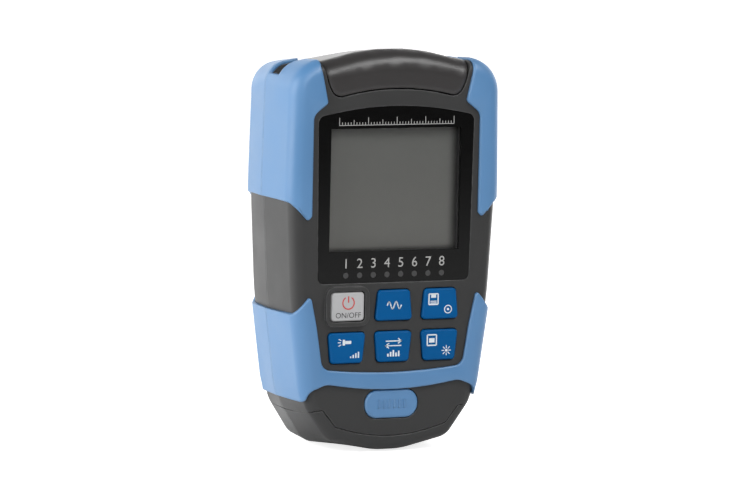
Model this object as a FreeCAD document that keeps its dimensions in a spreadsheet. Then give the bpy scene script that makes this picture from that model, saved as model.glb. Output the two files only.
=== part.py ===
import FreeCAD, Part

import Sketcher
import math
import os

from FreeCAD import Placement, Rotation, Vector

# Handheld optical power meter with fault locator, torch and cable tester.
# Millimetres. X to the right, Y to the back, Z up; the origin is the middle of the foot.

SIZES = [
    # moulded body
    ("front_depth", 21.7, "parting plane to the front face"),
    ("rear_depth", 16.5, "parting plane to the rear face"),
    ("part_spread", 1.15, "outline wider at the parting plane than at the front, each side"),
    ("rear_spread", 0.3, "outline wider at the rear than at the front, each side"),
    ("part_foot", 1.4, "foot lower at the parting plane than at the front"),
    ("rear_foot", 1.2, "foot lower at the rear than at the front"),
    ("part_heel", 3.3, "lower corners lower at the parting plane than at the front"),
    ("rear_heel", 2.8, "lower corners lower at the rear than at the front"),
    ("part_shoulder", 0.1, "shoulders lower at the parting plane than at the front"),
    ("rear_shoulder", 1.9, "shoulders lower at the rear than at the front"),
    ("part_round", 5.5, "shoulders less rounded at the parting plane than at the front, in radius"),
    ("rear_round", 3.0, "shoulders less rounded at the rear than at the front, in radius"),
    ("part_crown", 5.3, "crown corner lower at the parting plane than at the front"),
    ("rear_crown", 8.0, "crown corner lower at the rear than at the front"),
    ("edge_radius", 4.0, "rounding of the front and rear edges"),
    ("side_wall", 2.0, "wall of the sides"),
    ("front_wall", 2.8, "wall of the front, window recess and ledge together"),
    ("rear_wall", 2.0, "wall of the back"),
    ("foot_half", 5.0, "half width of the bottom before the foot is cut flat"),
    ("foot_radius", 30.0, "rounding of the bottom in the middle"),
    ("foot_cut", 0.6, "height cut off the bottom for the flat foot"),
    ("heel_half", 22.0, "half width at the lower corners"),
    ("heel_level", 5.0, "level of the lower corners"),
    ("heel_radius", 7.0, "rounding of the lower corners"),
    ("flank_half", 30.3, "half width above the flanks"),
    ("flank_level", 16.2, "level of the top of the flanks"),
    ("flank_radius", 12.0, "rounding above the flanks"),
    ("waist_half", 32.3, "half width at the lower guard"),
    ("waist_level", 23.3, "level of the waist corner"),
    ("waist_radius", 20.0, "rounding at the waist"),
    ("hip_half", 36.3, "half width at mid height"),
    ("hip_level", 52.8, "level of the mid height corner"),
    ("hip_radius", 150.0, "easing of the sides at mid height"),
    ("chest_half", 38.1, "largest half width"),
    ("chest_level", 87.3, "level of the largest width"),
    ("chest_radius", 150.0, "easing of the sides at the largest width"),
    ("shoulder_half", 37.2, "half width at the shoulder corner"),
    ("shoulder_level", 130.5, "level of the shoulder corner"),
    ("shoulder_radius", 12.0, "rounding of the shoulders"),
    ("crown_level", 142.4, "level where the two slopes of the top meet"),
    ("crown_radius", 84.0, "radius of the arched top"),
    # soft guards
    ("guard_proud", 1.1, "guard thickness over the shell"),
    ("key_sunk", 0.1, "faces of the keys behind the face of the guards"),
    ("guard_inner", 30.8, "half distance between the upper guards"),
    ("guard_tip", 32.2, "half distance between the lower tips of the upper guards"),
    ("guard_low", 80.0, "level of those tips"),
    ("guard_side", 86.7, "lower edge of the upper guards on the sides"),
    ("guard_step", 115.7, "level where the upper guards step inwards"),
    ("guard_neck", 25.6, "half distance between the guards beside the lid"),
    ("guard_neck_level", 119.7, "level of that step"),
    ("guard_tip_rise", 1.6, "inner corner over the lower tip of an upper guard"),
    ("guard_inner_radius", 1.0, "rounding of that corner"),
    ("guard_tip_radius", 0.8, "rounding of the lower tip"),
    ("guard_slant", 6.4, "width of the slanted edge from the tip to the side"),
    ("guard_side_radius", 3.0, "rounding where that edge meets the side"),
    ("guard_step_radius", 3.6, "rounding where the upper guards step inwards"),
    ("guard_neck_radius", 1.5, "rounding of the guard at its neck"),
    ("guard_bend_out", 2.6, "guard wider at its bend beside the lid than at its neck"),
    ("guard_bend_rise", 11.6, "neck to that bend, in height"),
    ("guard_bend_radius", 20.0, "rounding of that bend"),
    ("guard_top_out", 3.6, "guard wider at the top than at its neck"),
    ("slot_level", 128.4, "lower end of the cord slots"),
    ("slot_width", 6.8, "width of the cord slots"),
    ("slot_back", 1.3, "parting plane to a cord slot"),
    ("slot_depth", 1.2, "depth of a cord slot in the shell"),
    ("horn_half", 30.8, "half distance between the horn tips of the lower guard"),
    ("horn_level", 54.8, "level of the horn tips"),
    ("horn_side", 48.0, "upper edge of the lower guard on the sides"),
    ("horn_radius", 0.8, "rounding of the horn tips"),
    ("horn_slant", 5.6, "width of the slanted edge from a horn tip to the side"),
    ("horn_side_radius", 2.0, "rounding where that edge meets the side"),
    ("horn_waist_in", 2.3, "horn tip to the bend under it, inwards"),
    ("horn_waist_drop", 10.6, "horn tip to that bend, down"),
    ("horn_waist_radius", 60.0, "rounding of that bend"),
    ("horn_root_in", 4.7, "horn tip to the corner over the band, inwards"),
    ("horn_root_rise", 2.7, "that corner over the middle of the band"),
    ("horn_root_radius", 3.6, "rounding of that corner"),
    ("band_top", 26.6, "upper edge of the lower guard in the middle"),
    ("band_sag", 0.3, "meeting point of the upper slopes of the band below band_top"),
    ("band_top_radius", 200.0, "radius of the upper edge of the band"),
    ("band_low", 20.3, "level where the two slopes of the lower edge of the lower guard meet"),
    ("band_low_radius", 120.0, "radius of that edge"),
    ("band_half", 24.6, "half width where the lower edge turns down"),
    ("band_turn", 24.3, "level of that turn"),
    ("band_knee_half", 30.6, "half width where it turns to the side"),
    ("band_knee", 21.9, "level of that turn"),
    ("band_side_half", 31.5, "half width where it reaches the side"),
    ("band_side_low", 17.9, "lower edge of the lower guard on the sides"),
    ("band_turn_radius", 6.0, "rounding of the turn at band_turn"),
    ("band_knee_radius", 3.5, "rounding of the turn at band_knee"),
    ("band_side_radius", 2.0, "rounding where the lower edge reaches the side"),
    # lid
    ("lid_low_half", 22.6, "half width of the lid at its lower corners"),
    ("lid_low_level", 121.5, "level of the lower corners of the lid"),
    ("lid_low_rise", 5.6, "rise of the arched lower edge, to where its slopes meet"),
    ("lid_low_radius", 84.0, "radius of that arch"),
    ("lid_corner", 3.5, "rounding of the lower corners of the lid"),
    ("lid_mid_half", 24.9, "half width of the lid at lid_mid_level"),
    ("lid_mid_level", 125.9, "level of the bend in the sides of the lid"),
    ("lid_mid_radius", 10.0, "rounding of that bend"),
    ("lid_top_half", 27.3, "half width of the lid at lid_top_level"),
    ("lid_top_level", 134.3, "level where the sides of the lid reach the top"),
    ("lid_gap", 0.5, "gap round the lid"),
    ("lid_wall", 1.8, "wall of the lid"),
    ("lid_radius", 6.6, "rounding of the top front edge of the lid"),
    ("pivot_level", 123.9, "level of the hinge pin of the lid"),
    ("knuckle_radius", 2.0, "radius of the hinge knuckles"),
    ("pin_radius", 0.8, "radius of the hinge pin"),
    ("pin_fit", 0.05, "radial clearance of the pin in the lid"),
    ("knuckle_half", 16.6, "half length of the knuckle of the lid"),
    ("lug_length", 3.0, "length of each lug beside that knuckle"),
    ("sweep_half", 26.0, "half width of the room for the swinging corners of the lid"),
    ("sweep_radius", 2.9, "reach of that room round the hinge axis"),
    ("deck_level", 120.3, "top of the deck under the lid"),
    ("deck_thick", 2.0, "thickness of the deck"),
    ("deck_half", 20.4, "half width of the deck"),
    ("deck_gap", 0.2, "gap round the deck"),
    ("shelf_width", 1.2, "ledge that carries the deck"),
    ("shelf_thick", 1.6, "thickness of that ledge"),
    # window and display
    ("lens_low", 58.5, "lower edge of the window"),
    ("lens_low_half", 27.9, "half width of the window at its lower edge"),
    ("lens_high_half", 28.7, "half width of the window at its upper corners"),
    ("lens_high", 115.0, "level of its upper corners"),
    ("lens_low_corner", 2.0, "rounding of the lower corners of the window"),
    ("lens_high_corner", 2.4, "rounding of its upper corners"),
    ("lens_rise", 5.5, "rise of its arched upper edge, to where its slopes meet"),
    ("lens_radius", 118.0, "radius of that arch"),
    ("lens_thick", 1.6, "thickness of the window"),
    ("lens_gap", 0.1, "gap round the window"),
    ("view_width", 48.2, "width of the display opening"),
    ("view_low", 69.1, "lower edge of the display opening"),
    ("view_high", 110.9, "upper edge of the display opening"),
    ("glass_margin", 1.2, "margin of the display glass round its opening"),
    ("glass_thick", 2.2, "thickness of the display glass"),
    ("lamp_level", 61.1, "level of the row of lamps"),
    ("lamp_pitch", 5.08, "pitch of the lamps"),
    ("lamp_radius", 1.0, "radius of a lamp"),
    ("lamp_gap", 0.1, "gap round a lamp and in front of it"),
    ("lamp_bar_half", 1.9, "half height of the bar that carries the lamps"),
    # keys
    ("key_pitch", 17.2, "distance between the columns of keys"),
    ("key_row_high", 50.6, "level of the upper row"),
    ("key_row_low", 36.45, "level of the lower row"),
    ("key_height", 10.4, "height of a key"),
    ("key_wide", 13.7, "longer of the parallel sides of a key"),
    ("key_narrow", 11.6, "shorter of them"),
    ("key_corner", 1.3, "corner radius of a key"),
    ("key_bevel", 0.4, "bevel round the face of a key"),
    ("key_gap", 0.3, "gap round a key"),
    ("key_flange", 0.9, "reach of the flange behind the wall"),
    ("flange_thick", 1.0, "thickness of the flange"),
    ("power_width", 12.2, "width of the power key"),
    ("power_height", 9.9, "height of the power key"),
    ("rim_width", 1.6, "width of the raised rim round the power key"),
    ("button_width", 19.5, "width of the release button"),
    ("button_height", 9.6, "height of the release button"),
    ("button_level", 16.7, "level of the release button"),
    ("button_proud", 0.5, "height of the button over the shell"),
    ("catch_half", 3.0, "half width of the catch behind the button"),
    ("catch_rise", 1.6, "catch over the middle of the button"),
    ("catch_tall", 2.0, "height of the catch"),
    ("catch_reach", 2.6, "depth of the catch"),
    # remote unit
    ("remote_side", 13.1, "top of the remote unit on the sides"),
    ("remote_side_radius", 0.6, "rounding of the joint line at the side"),
    ("remote_side_half", 29.6, "half width where the joint line reaches the side"),
    ("remote_knee_half", 28.0, "half width where it turns to the side"),
    ("remote_knee", 14.9, "level of that turn"),
    ("remote_knee_radius", 1.0, "rounding of the joint line at its knee"),
    ("remote_turn", 15.2, "level where the joint line turns down"),
    ("remote_turn_radius", 1.2, "rounding of the joint line at its inner turn"),
    ("remote_in", 25.3, "half width where the joint line turns down"),
    ("remote_low_half", 20.5, "half width where it turns inwards"),
    ("remote_low", 9.2, "level of that turn"),
    ("remote_low_corner", 2.5, "rounding of its lower corners"),
    ("remote_mid", 3.3, "level where its lower slopes meet"),
    ("remote_radius", 58.0, "radius of the arched joint line"),
    ("joint_gap", 0.25, "gap between the remote unit and the housing"),
    ("core_half", 21.0, "half width of the plug-in block"),
    ("core_front", 5.8, "front face to the block"),
    ("core_back", 4.6, "rear face to the block"),
    ("core_high", 30.3, "top of the block"),
    # sockets and ports
    ("jack_width", 15.4, "width of a cable socket"),
    ("jack_depth", 13.4, "depth of a cable socket"),
    ("jack_length", 18.0, "length of a cable socket"),
    ("plug_width", 11.8, "width of its opening"),
    ("plug_depth", 8.0, "depth of its opening"),
    ("plug_length", 15.0, "depth of the well"),
    ("jack_place", 11.2, "middle of the main socket to the right of the middle"),
    ("jack_proud", 0.8, "socket over the deck"),
    ("meter_place", 13.4, "power meter port to the left of the middle"),
    ("meter_bore", 1.26, "radius of the ferrule bore"),
    ("meter_radius", 4.0, "radius of the threaded nose"),
    ("meter_flange", 5.6, "radius of the flange"),
    ("locator_place", 2.2, "fault locator port to the left of the middle"),
    ("locator_back", 3.4, "fault locator port behind the middle"),
    ("locator_radius", 3.4, "radius of the nose"),
    ("port_rise", 7.6, "rise of the ports over the deck"),
    ("torch_radius", 2.5, "radius of the torch lamp"),
    ("torch_front", 8.6, "torch lamp in front of the middle"),
    # battery bay
    ("cell_radius", 7.1, "radius of a cell"),
    ("cell_length", 49.0, "length of a cell without its nub"),
    ("cell_pitch", 14.7, "distance between cells"),
    ("bay_low", 44.3, "lower end of the bay"),
    ("bay_high", 100.9, "upper end of the bay"),
    ("bay_wall", 1.2, "wall of the bay"),
    ("door_thick", 1.8, "thickness of the door"),
    ("door_gap", 0.25, "gap round the door"),
    # fastening
    ("screw_high", 109.3, "level of the upper screws"),
    ("screw_high_half", 28.8, "half distance between them"),
    ("screw_low", 61.8, "level of the lower screws"),
    ("screw_low_half", 29.6, "half distance between them"),
    ("screw_radius", 1.2, "radius of a screw"),
    ("head_radius", 2.0, "radius of a screw head"),
    ("head_thick", 1.4, "thickness of a screw head"),
    ("head_sunk", 1.8, "depth of the recess of a screw head"),
    ("boss_radius", 2.9, "radius of a screw boss"),
    ("board_thick", 1.6, "thickness of the circuit board"),
    ("board_depth", 11.7, "front face to the circuit board"),
    ("board_half", 25.4, "half width of the circuit board"),
    ("mat_half", 24.8, "half width of the mat under the keys"),
    ("mat_drop", 2.2, "inner face of the front wall to the mat"),
    ("mat_thick", 0.8, "thickness of the mat"),
    ("dome_radius", 3.0, "radius of a dome of the mat"),
    ("board_high", 114.5, "top of the circuit board"),
]

doc = FreeCAD.newDocument("PowerMeter")
sheet = doc.addObject("Spreadsheet::Sheet", "Sizes")
for row, (alias, number, note) in enumerate(SIZES, start=1):
    sheet.set("A%d" % row, note)
    sheet.set("B%d" % row, str(number))
    sheet.setAlias("B%d" % row, alias)
doc.recompute()


class Size:
    """A length that knows its number and the expression it comes from."""

    def __init__(self, number, text):
        self.number = float(number)
        self.text = text

    def __float__(self):
        return self.number

    def __neg__(self):
        return Size(-self.number, "-(%s)" % self.text)

    def __abs__(self):
        return self if self.number >= 0 else -self

    def __add__(self, other):
        other = size(other)
        return Size(self.number + other.number, "(%s + %s)" % (self.text, other.text))

    def __sub__(self, other):
        other = size(other)
        return Size(self.number - other.number, "(%s - %s)" % (self.text, other.text))

    def __mul__(self, other):
        other = size(other)
        return Size(self.number * other.number, "(%s * %s)" % (self.text, other.text))

    def __truediv__(self, other):
        other = size(other)
        return Size(self.number / other.number, "(%s / %s)" % (self.text, other.text))

    def __radd__(self, other):
        return size(other) + self

    def __rsub__(self, other):
        return size(other) - self

    def __rmul__(self, other):
        return size(other) * self


def size(value):
    if isinstance(value, Size):
        return value
    if isinstance(value, str):
        return Size(sheet.get(value), "Sizes." + value)
    return Size(value, repr(float(value)))


def bind(thing, name, value):
    """Sets a property to a size, by expression where the size comes from the sheet."""
    value = size(value)
    if "Sizes." in value.text:
        thing.setExpression(name, value.text)
    else:
        parts = name.split(".")
        if len(parts) == 3:
            base = Vector(thing.Placement.Base)
            setattr(base, parts[2], value.number)
            thing.Placement = Placement(base, thing.Placement.Rotation)
        else:
            setattr(thing, name, value.number)


S = {alias: size(alias) for alias, number, note in SIZES}
UPRIGHT = Rotation(Vector(1, 0, 0), 90)
serial = [0]
nodes = []


def fresh(stem):
    serial[0] += 1
    return "%s_%03d" % (stem, serial[0])


def node(thing, label):
    thing.Label = label
    nodes.append(thing)
    return thing


# ---------------------------------------------------------------- sketches


def tangentPoints(before, here, after, radius):
    """Start, middle and end of the arc that rounds one corner."""
    back = (before - here).normalize()
    on = (after - here).normalize()
    half = back.getAngle(on) / 2
    reach = radius / math.tan(half)
    middle = (back + on).normalize()
    centre = here + middle * (radius / math.sin(half))
    return here + back * reach, centre - middle * radius, here + on * reach


def place(sketch, geometry, spot, corner, tag):
    """Holds a point of a sketch at a corner's coordinates."""
    for kind, value, axis in (("DistanceX", corner[0], -2), ("DistanceY", corner[1], -1)):
        value = size(value)
        if abs(value.number) < 1e-9:
            sketch.addConstraint(Sketcher.Constraint("PointOnObject", geometry, spot, axis))
            continue
        if value.number > 0:
            order = (-1, 1, geometry, spot)
        else:
            order = (geometry, spot, -1, 1)
        index = sketch.addConstraint(Sketcher.Constraint(kind, *order, abs(value).number))
        name = "%s%s" % (tag, kind[-1])
        sketch.renameConstraint(index, name)
        if "Sizes." in value.text:
            sketch.setExpression("Constraints." + name, abs(value).text)


def draw(sketch, corners):
    """Draws a closed outline of straight sides, each corner (x, z) or (x, z, radius)."""
    spots = [Vector(float(size(c[0])), float(size(c[1])), 0) for c in corners]
    count = len(corners)
    starts, ends, arcs = [], [], []
    for i, corner in enumerate(corners):
        if len(corner) > 2:
            arc = tangentPoints(spots[i - 1], spots[i], spots[(i + 1) % count], float(size(corner[2])))
        else:
            arc = (spots[i], None, spots[i])
        arcs.append(arc)
    lines = []
    for i in range(count):
        lines.append(sketch.addGeometry(Part.LineSegment(arcs[i][2], arcs[(i + 1) % count][0]), False))
    for i, corner in enumerate(corners):
        before, after = lines[i - 1], lines[i]
        tag = "c%d" % i
        if len(corner) == 2:
            sketch.addConstraint(Sketcher.Constraint("Coincident", before, 2, after, 1))
            place(sketch, after, 1, corner, tag)
            continue
        turn = (spots[i] - spots[i - 1]).cross(spots[(i + 1) % count] - spots[i]).z
        arc = sketch.addGeometry(Part.Arc(*arcs[i]), False)
        first, last = (1, 2) if turn > 0 else (2, 1)
        mark = sketch.addGeometry(Part.Point(spots[i]), True)
        place(sketch, mark, 1, corner, tag)
        sketch.addConstraint(Sketcher.Constraint("PointOnObject", mark, 1, before))
        sketch.addConstraint(Sketcher.Constraint("PointOnObject", mark, 1, after))
        sketch.addConstraint(Sketcher.Constraint("Tangent", before, 2, arc, first))
        sketch.addConstraint(Sketcher.Constraint("Tangent", arc, last, after, 1))
        radius = size(corner[2])
        index = sketch.addConstraint(Sketcher.Constraint("Radius", arc, radius.number))
        sketch.renameConstraint(index, tag + "R")
        if "Sizes." in radius.text:
            sketch.setExpression("Constraints.%sR" % tag, radius.text)
    return sketch


def outline(stem, corners, level=0.0):
    """A sketch in an upright plane that faces the front, at a given depth."""
    sketch = doc.addObject("Sketcher::SketchObject", fresh(stem))
    sketch.Placement = Placement(Vector(0, 0, 0), UPRIGHT)
    bind(sketch, "Placement.Base.y", level)
    return draw(sketch, corners)


def mirrored(half):
    """A closed outline from its right half, listed upwards, that has no point in the middle."""
    left = [(-size(c[0]),) + tuple(c[1:]) for c in reversed(half)]
    return list(half) + left


# ---------------------------------------------------------------- solids


def prism(stem, sketch, way, length):
    """Extrudes an outline along Y, way -1 to the front or 1 to the back."""
    solid = doc.addObject("Part::Extrusion", fresh(stem))
    solid.Base = sketch
    solid.DirMode = "Custom"
    solid.Dir = Vector(0, way, 0)
    solid.Solid = True
    bind(solid, "LengthFwd", length)
    return solid


def grown(stem, sketch, by):
    """The outline moved outwards by a distance."""
    ring = doc.addObject("Part::Offset2D", fresh(stem))
    ring.Source = sketch
    bind(ring, "Value", by)
    ring.Join = 0
    return ring


def box(stem, x, y, z):
    """A block between pairs of coordinates."""
    solid = doc.addObject("Part::Box", fresh(stem))
    for name, base, (low, high) in (("Length", "x", x), ("Width", "y", y), ("Height", "z", z)):
        bind(solid, name, size(high) - size(low))
        bind(solid, "Placement.Base." + base, low)
    return solid


def rod(stem, axis, radius, length, x=0.0, y=0.0, z=0.0):
    """A cylinder that starts at a point and runs along +X, +Y or +Z."""
    solid = doc.addObject("Part::Cylinder", fresh(stem))
    turns = {
        "X": Rotation(Vector(0, 1, 0), 90),
        "Y": Rotation(Vector(1, 0, 0), -90),
        "Z": Rotation(),
    }
    solid.Placement = Placement(Vector(0, 0, 0), turns[axis])
    bind(solid, "Radius", radius)
    bind(solid, "Height", length)
    for name, value in (("x", x), ("y", y), ("z", z)):
        bind(solid, "Placement.Base." + name, value)
    return solid


def fuse(stem, *solids):
    result = doc.addObject("Part::MultiFuse", fresh(stem))
    result.Shapes = list(solids)
    result.Refine = False
    return result


def common(stem, *solids):
    result = doc.addObject("Part::MultiCommon", fresh(stem))
    result.Shapes = list(solids)
    result.Refine = False
    return result


def cut(stem, base, *tools):
    result = doc.addObject("Part::Cut", fresh(stem))
    result.Base = base
    result.Tool = tools[0] if len(tools) == 1 else fuse(stem + "_tools", *tools)
    result.Refine = False
    return result


def group(stem, *solids):
    result = doc.addObject("Part::Compound", fresh(stem))
    result.Links = list(solids)
    return result


def rounded(stem, base, radius, wanted):
    """Rounds the edges that the test picks."""
    doc.recompute()
    result = doc.addObject("Part::Fillet", fresh(stem))
    result.Base = base
    picked = [i for i, edge in enumerate(base.Shape.Edges, start=1) if wanted(edge)]
    result.Edges = [(i, float(size(radius)), float(size(radius))) for i in picked]
    return result


def liesAt(level, above=-100.0):
    """A test for edges that lie in one plane across Y and reach over a level."""

    def wanted(edge):
        bounds = edge.BoundBox
        flat = abs(bounds.YMin - float(level)) < 0.01 and abs(bounds.YMax - float(level)) < 0.01
        return flat and bounds.ZMax > float(above)

    return wanted


# ---------------------------------------------------------------- bodies


def makeBody(stem):
    return doc.addObject("PartDesign::Body", stem)


def plane(body, role):
    for feature in body.Origin.OriginFeatures:
        if feature.Role == role:
            return feature


def bodySketch(body, corners, level=0.0, role="XZ_Plane"):
    """A sketch on an origin plane, moved along the plane's normal."""
    sketch = body.newObject("Sketcher::SketchObject", fresh("profile"))
    sketch.AttachmentSupport = (plane(body, role), [""])
    sketch.MapMode = "FlatFace"
    level = size(level)
    if role == "XZ_Plane":
        level = -level
    if "Sizes." in level.text:
        sketch.setExpression("AttachmentOffset.Base.z", level.text)
    else:
        sketch.AttachmentOffset = Placement(Vector(0, 0, level.number), Rotation())
    if corners:
        draw(sketch, corners)
    return sketch


def pad(body, sketch, length, backwards=False):
    feature = body.newObject("PartDesign::Pad", fresh("pad"))
    feature.Profile = sketch
    feature.Reversed = backwards
    bind(feature, "Length", length)
    body.Tip = feature
    doc.recompute()
    return feature


def pocket(body, sketch, length, backwards=False):
    feature = body.newObject("PartDesign::Pocket", fresh("pocket"))
    feature.Profile = sketch
    feature.Reversed = backwards
    bind(feature, "Length", length)
    before = body.Shape.Volume
    body.Tip = feature
    doc.recompute()
    if body.Shape.Volume > before - 1e-6:
        raise RuntimeError("a pocket of %s cuts nothing" % body.Label)
    return feature


def spin(body, corners):
    """Revolves a half profile about the body's Z axis."""
    sketch = bodySketch(body, corners)
    feature = body.newObject("PartDesign::Revolution", fresh("spin"))
    feature.Profile = sketch
    feature.ReferenceAxis = (sketch, ["V_Axis"])
    feature.Angle = 360
    body.Tip = feature
    doc.recompute()
    return feature


def bevelFace(body, level, width):
    """Bevels the rim of the face that lies at a level across Y."""
    wanted = liesAt(level)
    names = ["Edge%d" % i for i, edge in enumerate(body.Shape.Edges, start=1) if wanted(edge)]
    below = body.Tip
    feature = body.newObject("PartDesign::Chamfer", fresh("bevel"))
    feature.Base = (below, names)
    bind(feature, "Size", width)
    body.Tip = feature
    doc.recompute()
    return feature


def put(thing, x=0.0, y=0.0, z=0.0):
    for name, value in (("x", x), ("y", y), ("z", z)):
        bind(thing, "Placement.Base." + name, value)
    return thing


# ---------------------------------------------------------------- main levels

partingY = (S["front_depth"] - S["rear_depth"]) / 2
frontY = partingY - S["front_depth"]
rearY = partingY + S["rear_depth"]
insideY = frontY + S["front_wall"]
backY = rearY - S["rear_wall"]
boardY = frontY + S["board_depth"]
FAR = 60.0

# ---------------------------------------------------------------- outer form

STATION = ("spread", "foot", "heel", "shoulder", "round", "crown")
footLevel = S["part_foot"] - S["foot_cut"]


def bodyLine(stem, level, station=None):
    """The outline of the case at the front, or as changed at the parting plane or the rear."""
    change = {name: S["%s_%s" % (station, name)] if station else 0.0 for name in STATION}
    wide, foot, crown = change["spread"], change["foot"], change["crown"]
    half = [
        (S["foot_half"] + wide, footLevel - foot, S["foot_radius"]),
        (S["heel_half"] + wide, S["heel_level"] - change["heel"], S["heel_radius"]),
        (S["flank_half"] + wide, S["flank_level"] - foot, S["flank_radius"]),
        (S["waist_half"] + wide, S["waist_level"], S["waist_radius"]),
        (S["hip_half"] + wide, S["hip_level"], S["hip_radius"]),
        (S["chest_half"] + wide, S["chest_level"], S["chest_radius"]),
        (
            S["shoulder_half"] + wide,
            S["shoulder_level"] - change["shoulder"],
            S["shoulder_radius"] - change["round"],
        ),
    ]
    corners = half + [(0.0, S["crown_level"] - crown, S["crown_radius"])]
    corners += [(-c[0],) + tuple(c[1:]) for c in reversed(half)]
    return outline(stem, corners, level)


def loft(stem, *lines):
    solid = doc.addObject("Part::Loft", fresh(stem))
    solid.Sections = list(lines)
    solid.Solid = True
    solid.Ruled = True
    return solid


proud = S["guard_proud"]
frontLine = bodyLine("front_line", frontY)
partLine = bodyLine("part_line", partingY, "part")
rearLine = bodyLine("rear_line", rearY, "rear")
guardFrontLine = grown("guard_line", bodyLine("guard_front_line", frontY - proud), proud)
guardPartLine = grown("guard_line", partLine, proud)
guardRearLine = grown("guard_line", bodyLine("guard_rear_line", rearY + proud, "rear"), proud)

frontForm = loft("front_form", frontLine, partLine)
rearForm = loft("rear_form", partLine, rearLine)
frontBlock = rounded("front_block", frontForm, S["edge_radius"], liesAt(frontY))
rearBlock = rounded("rear_block", rearForm, S["edge_radius"], liesAt(rearY))
frontGuard = rounded(
    "front_guard",
    loft("front_guard_form", guardFrontLine, guardPartLine),
    S["edge_radius"] + proud,
    liesAt(frontY - proud),
)
rearGuard = rounded(
    "rear_guard",
    loft("rear_guard_form", guardPartLine, guardRearLine),
    S["edge_radius"] + proud,
    liesAt(rearY + proud),
)


def within(stem, wall):
    """The space inside a wall of both halves: front part and rear part, as wide as the outlines."""
    lines = [grown(stem + "_line", line, -wall) for line in (frontLine, partLine, rearLine)]
    return loft(stem + "_front", lines[0], lines[1]), loft(stem + "_rear", lines[1], lines[2])


def slab(stem, low, high):
    """All space between two depths."""
    return box(stem, (-FAR, FAR), (low, high), (-FAR, FAR * 3))


hollowFront, hollowRear = within("hollow", S["side_wall"])
frontHollow = common("front_hollow", hollowFront, slab("front_depth", insideY, partingY))
rearHollow = common("rear_hollow", hollowRear, slab("rear_depth", partingY, backY))

# ---------------------------------------------------------------- joint lines

# a level clear over the crown
aboveAll = S["crown_level"] + 10

lidHalf = [
    (S["lid_low_half"], S["lid_low_level"], S["lid_corner"]),
    (S["lid_mid_half"], S["lid_mid_level"], S["lid_mid_radius"]),
    (S["lid_top_half"], S["lid_top_level"]),
    (S["lid_top_half"], aboveAll),
]
lidCorners = mirrored(lidHalf) + [(0.0, S["lid_low_level"] + S["lid_low_rise"], S["lid_low_radius"])]
lidLine = outline("lid_line", lidCorners, partingY)
lidSpace = grown("lid_space", lidLine, S["lid_gap"])
lidWell = grown("lid_well", lidLine, S["lid_gap"] + S["side_wall"])

remoteHalf = [
    (FAR, -5.0),
    (FAR, S["remote_side"]),
    (S["remote_side_half"], S["remote_side"], S["remote_side_radius"]),
    (S["remote_knee_half"], S["remote_knee"], S["remote_knee_radius"]),
    (S["remote_in"], S["remote_turn"], S["remote_turn_radius"]),
    (S["remote_low_half"], S["remote_low"], S["remote_low_corner"]),
]
remoteCorners = remoteHalf + [(0.0, S["remote_mid"], S["remote_radius"])]
remoteCorners += [(-size(c[0]),) + tuple(c[1:]) for c in reversed(remoteHalf)]
remoteLine = outline("remote_line", remoteCorners, partingY)
remoteSpace = grown("remote_space", remoteLine, S["joint_gap"])

# ---------------------------------------------------------------- shells of the housing


def cordSlot(side):
    """The space of one cord slot over a shoulder."""
    back = partingY - S["slot_back"]
    low, high = sorted((side * FAR, side * S["guard_neck"]), key=float)
    return box("cord_slot", (low, high), (back - S["slot_width"], back), (S["slot_level"], FAR * 3))


def through(stem, sketch, way):
    """A long prism from the parting plane to the front or the back."""
    return prism(stem, sketch, way, FAR)


def bossColumns(stem, y, radius, length):
    """Four round columns along Y at the screws."""
    columns = []
    for half, level in (("screw_high_half", "screw_high"), ("screw_low_half", "screw_low")):
        for side in (-1, 1):
            columns.append(rod(stem, "Y", radius, length, side * S[half], y, S[level]))
    return columns


screwLength = S["rear_depth"] - S["head_sunk"] + 8
shelfOut = S["deck_half"] + S["side_wall"]
shelfIn = S["deck_half"] - S["shelf_width"]
deckFloor = S["deck_level"] - S["deck_thick"]
shelfLow = deckFloor - S["shelf_thick"]
shelfFront = frontY + S["front_wall"]
deckBack = rearY - S["rear_wall"]

# front shell
lensHalf = [
    (S["lens_low_half"], S["lens_low"], S["lens_low_corner"]),
    (S["lens_high_half"], S["lens_high"], S["lens_high_corner"]),
]
lensCorners = lensHalf + [(0.0, S["lens_high"] + S["lens_rise"], S["lens_radius"])]
lensCorners += [(-c[0],) + tuple(c[1:]) for c in reversed(lensHalf)]
lensY = frontY + S["lens_thick"]
lensSeat = outline("lens_seat", lensCorners, lensY)

viewHalf = S["view_width"] / 2
lampHalf = S["lamp_pitch"] * 3.5

keyColumns = {"left": -S["key_pitch"], "middle": size(0.0), "right": S["key_pitch"]}


def keyCorners(x, z, top, bottom, tall, radius, extra=0.0):
    """A key's face: a trapezoid of given upper and lower width, grown by a margin."""
    high = z + tall / 2 + extra
    low = z - tall / 2 - extra
    topHalf = top / 2 + extra
    bottomHalf = bottom / 2 + extra
    return [
        (x - bottomHalf, low, radius),
        (x + bottomHalf, low, radius),
        (x + topHalf, high, radius),
        (x - topHalf, high, radius),
    ]


KEYS = {
    "key_wavelength": ("middle", "key_row_high", "key_narrow", "key_wide", "key_height"),
    "key_reference": ("right", "key_row_high", "key_narrow", "key_wide", "key_height"),
    "key_torch": ("left", "key_row_low", "key_wide", "key_narrow", "key_height"),
    "key_unit": ("middle", "key_row_low", "key_wide", "key_narrow", "key_height"),
    "key_locator": ("right", "key_row_low", "key_wide", "key_narrow", "key_height"),
    "power_key": ("left", "key_row_high", "power_width", "power_width", "power_height"),
}


def keyFace(name, extra=0.0):
    column, row, top, bottom, tall = KEYS[name]
    radius = S["key_corner"] + extra
    return keyCorners(keyColumns[column], S[row], S[top], S[bottom], S[tall], radius, size(extra))


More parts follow.
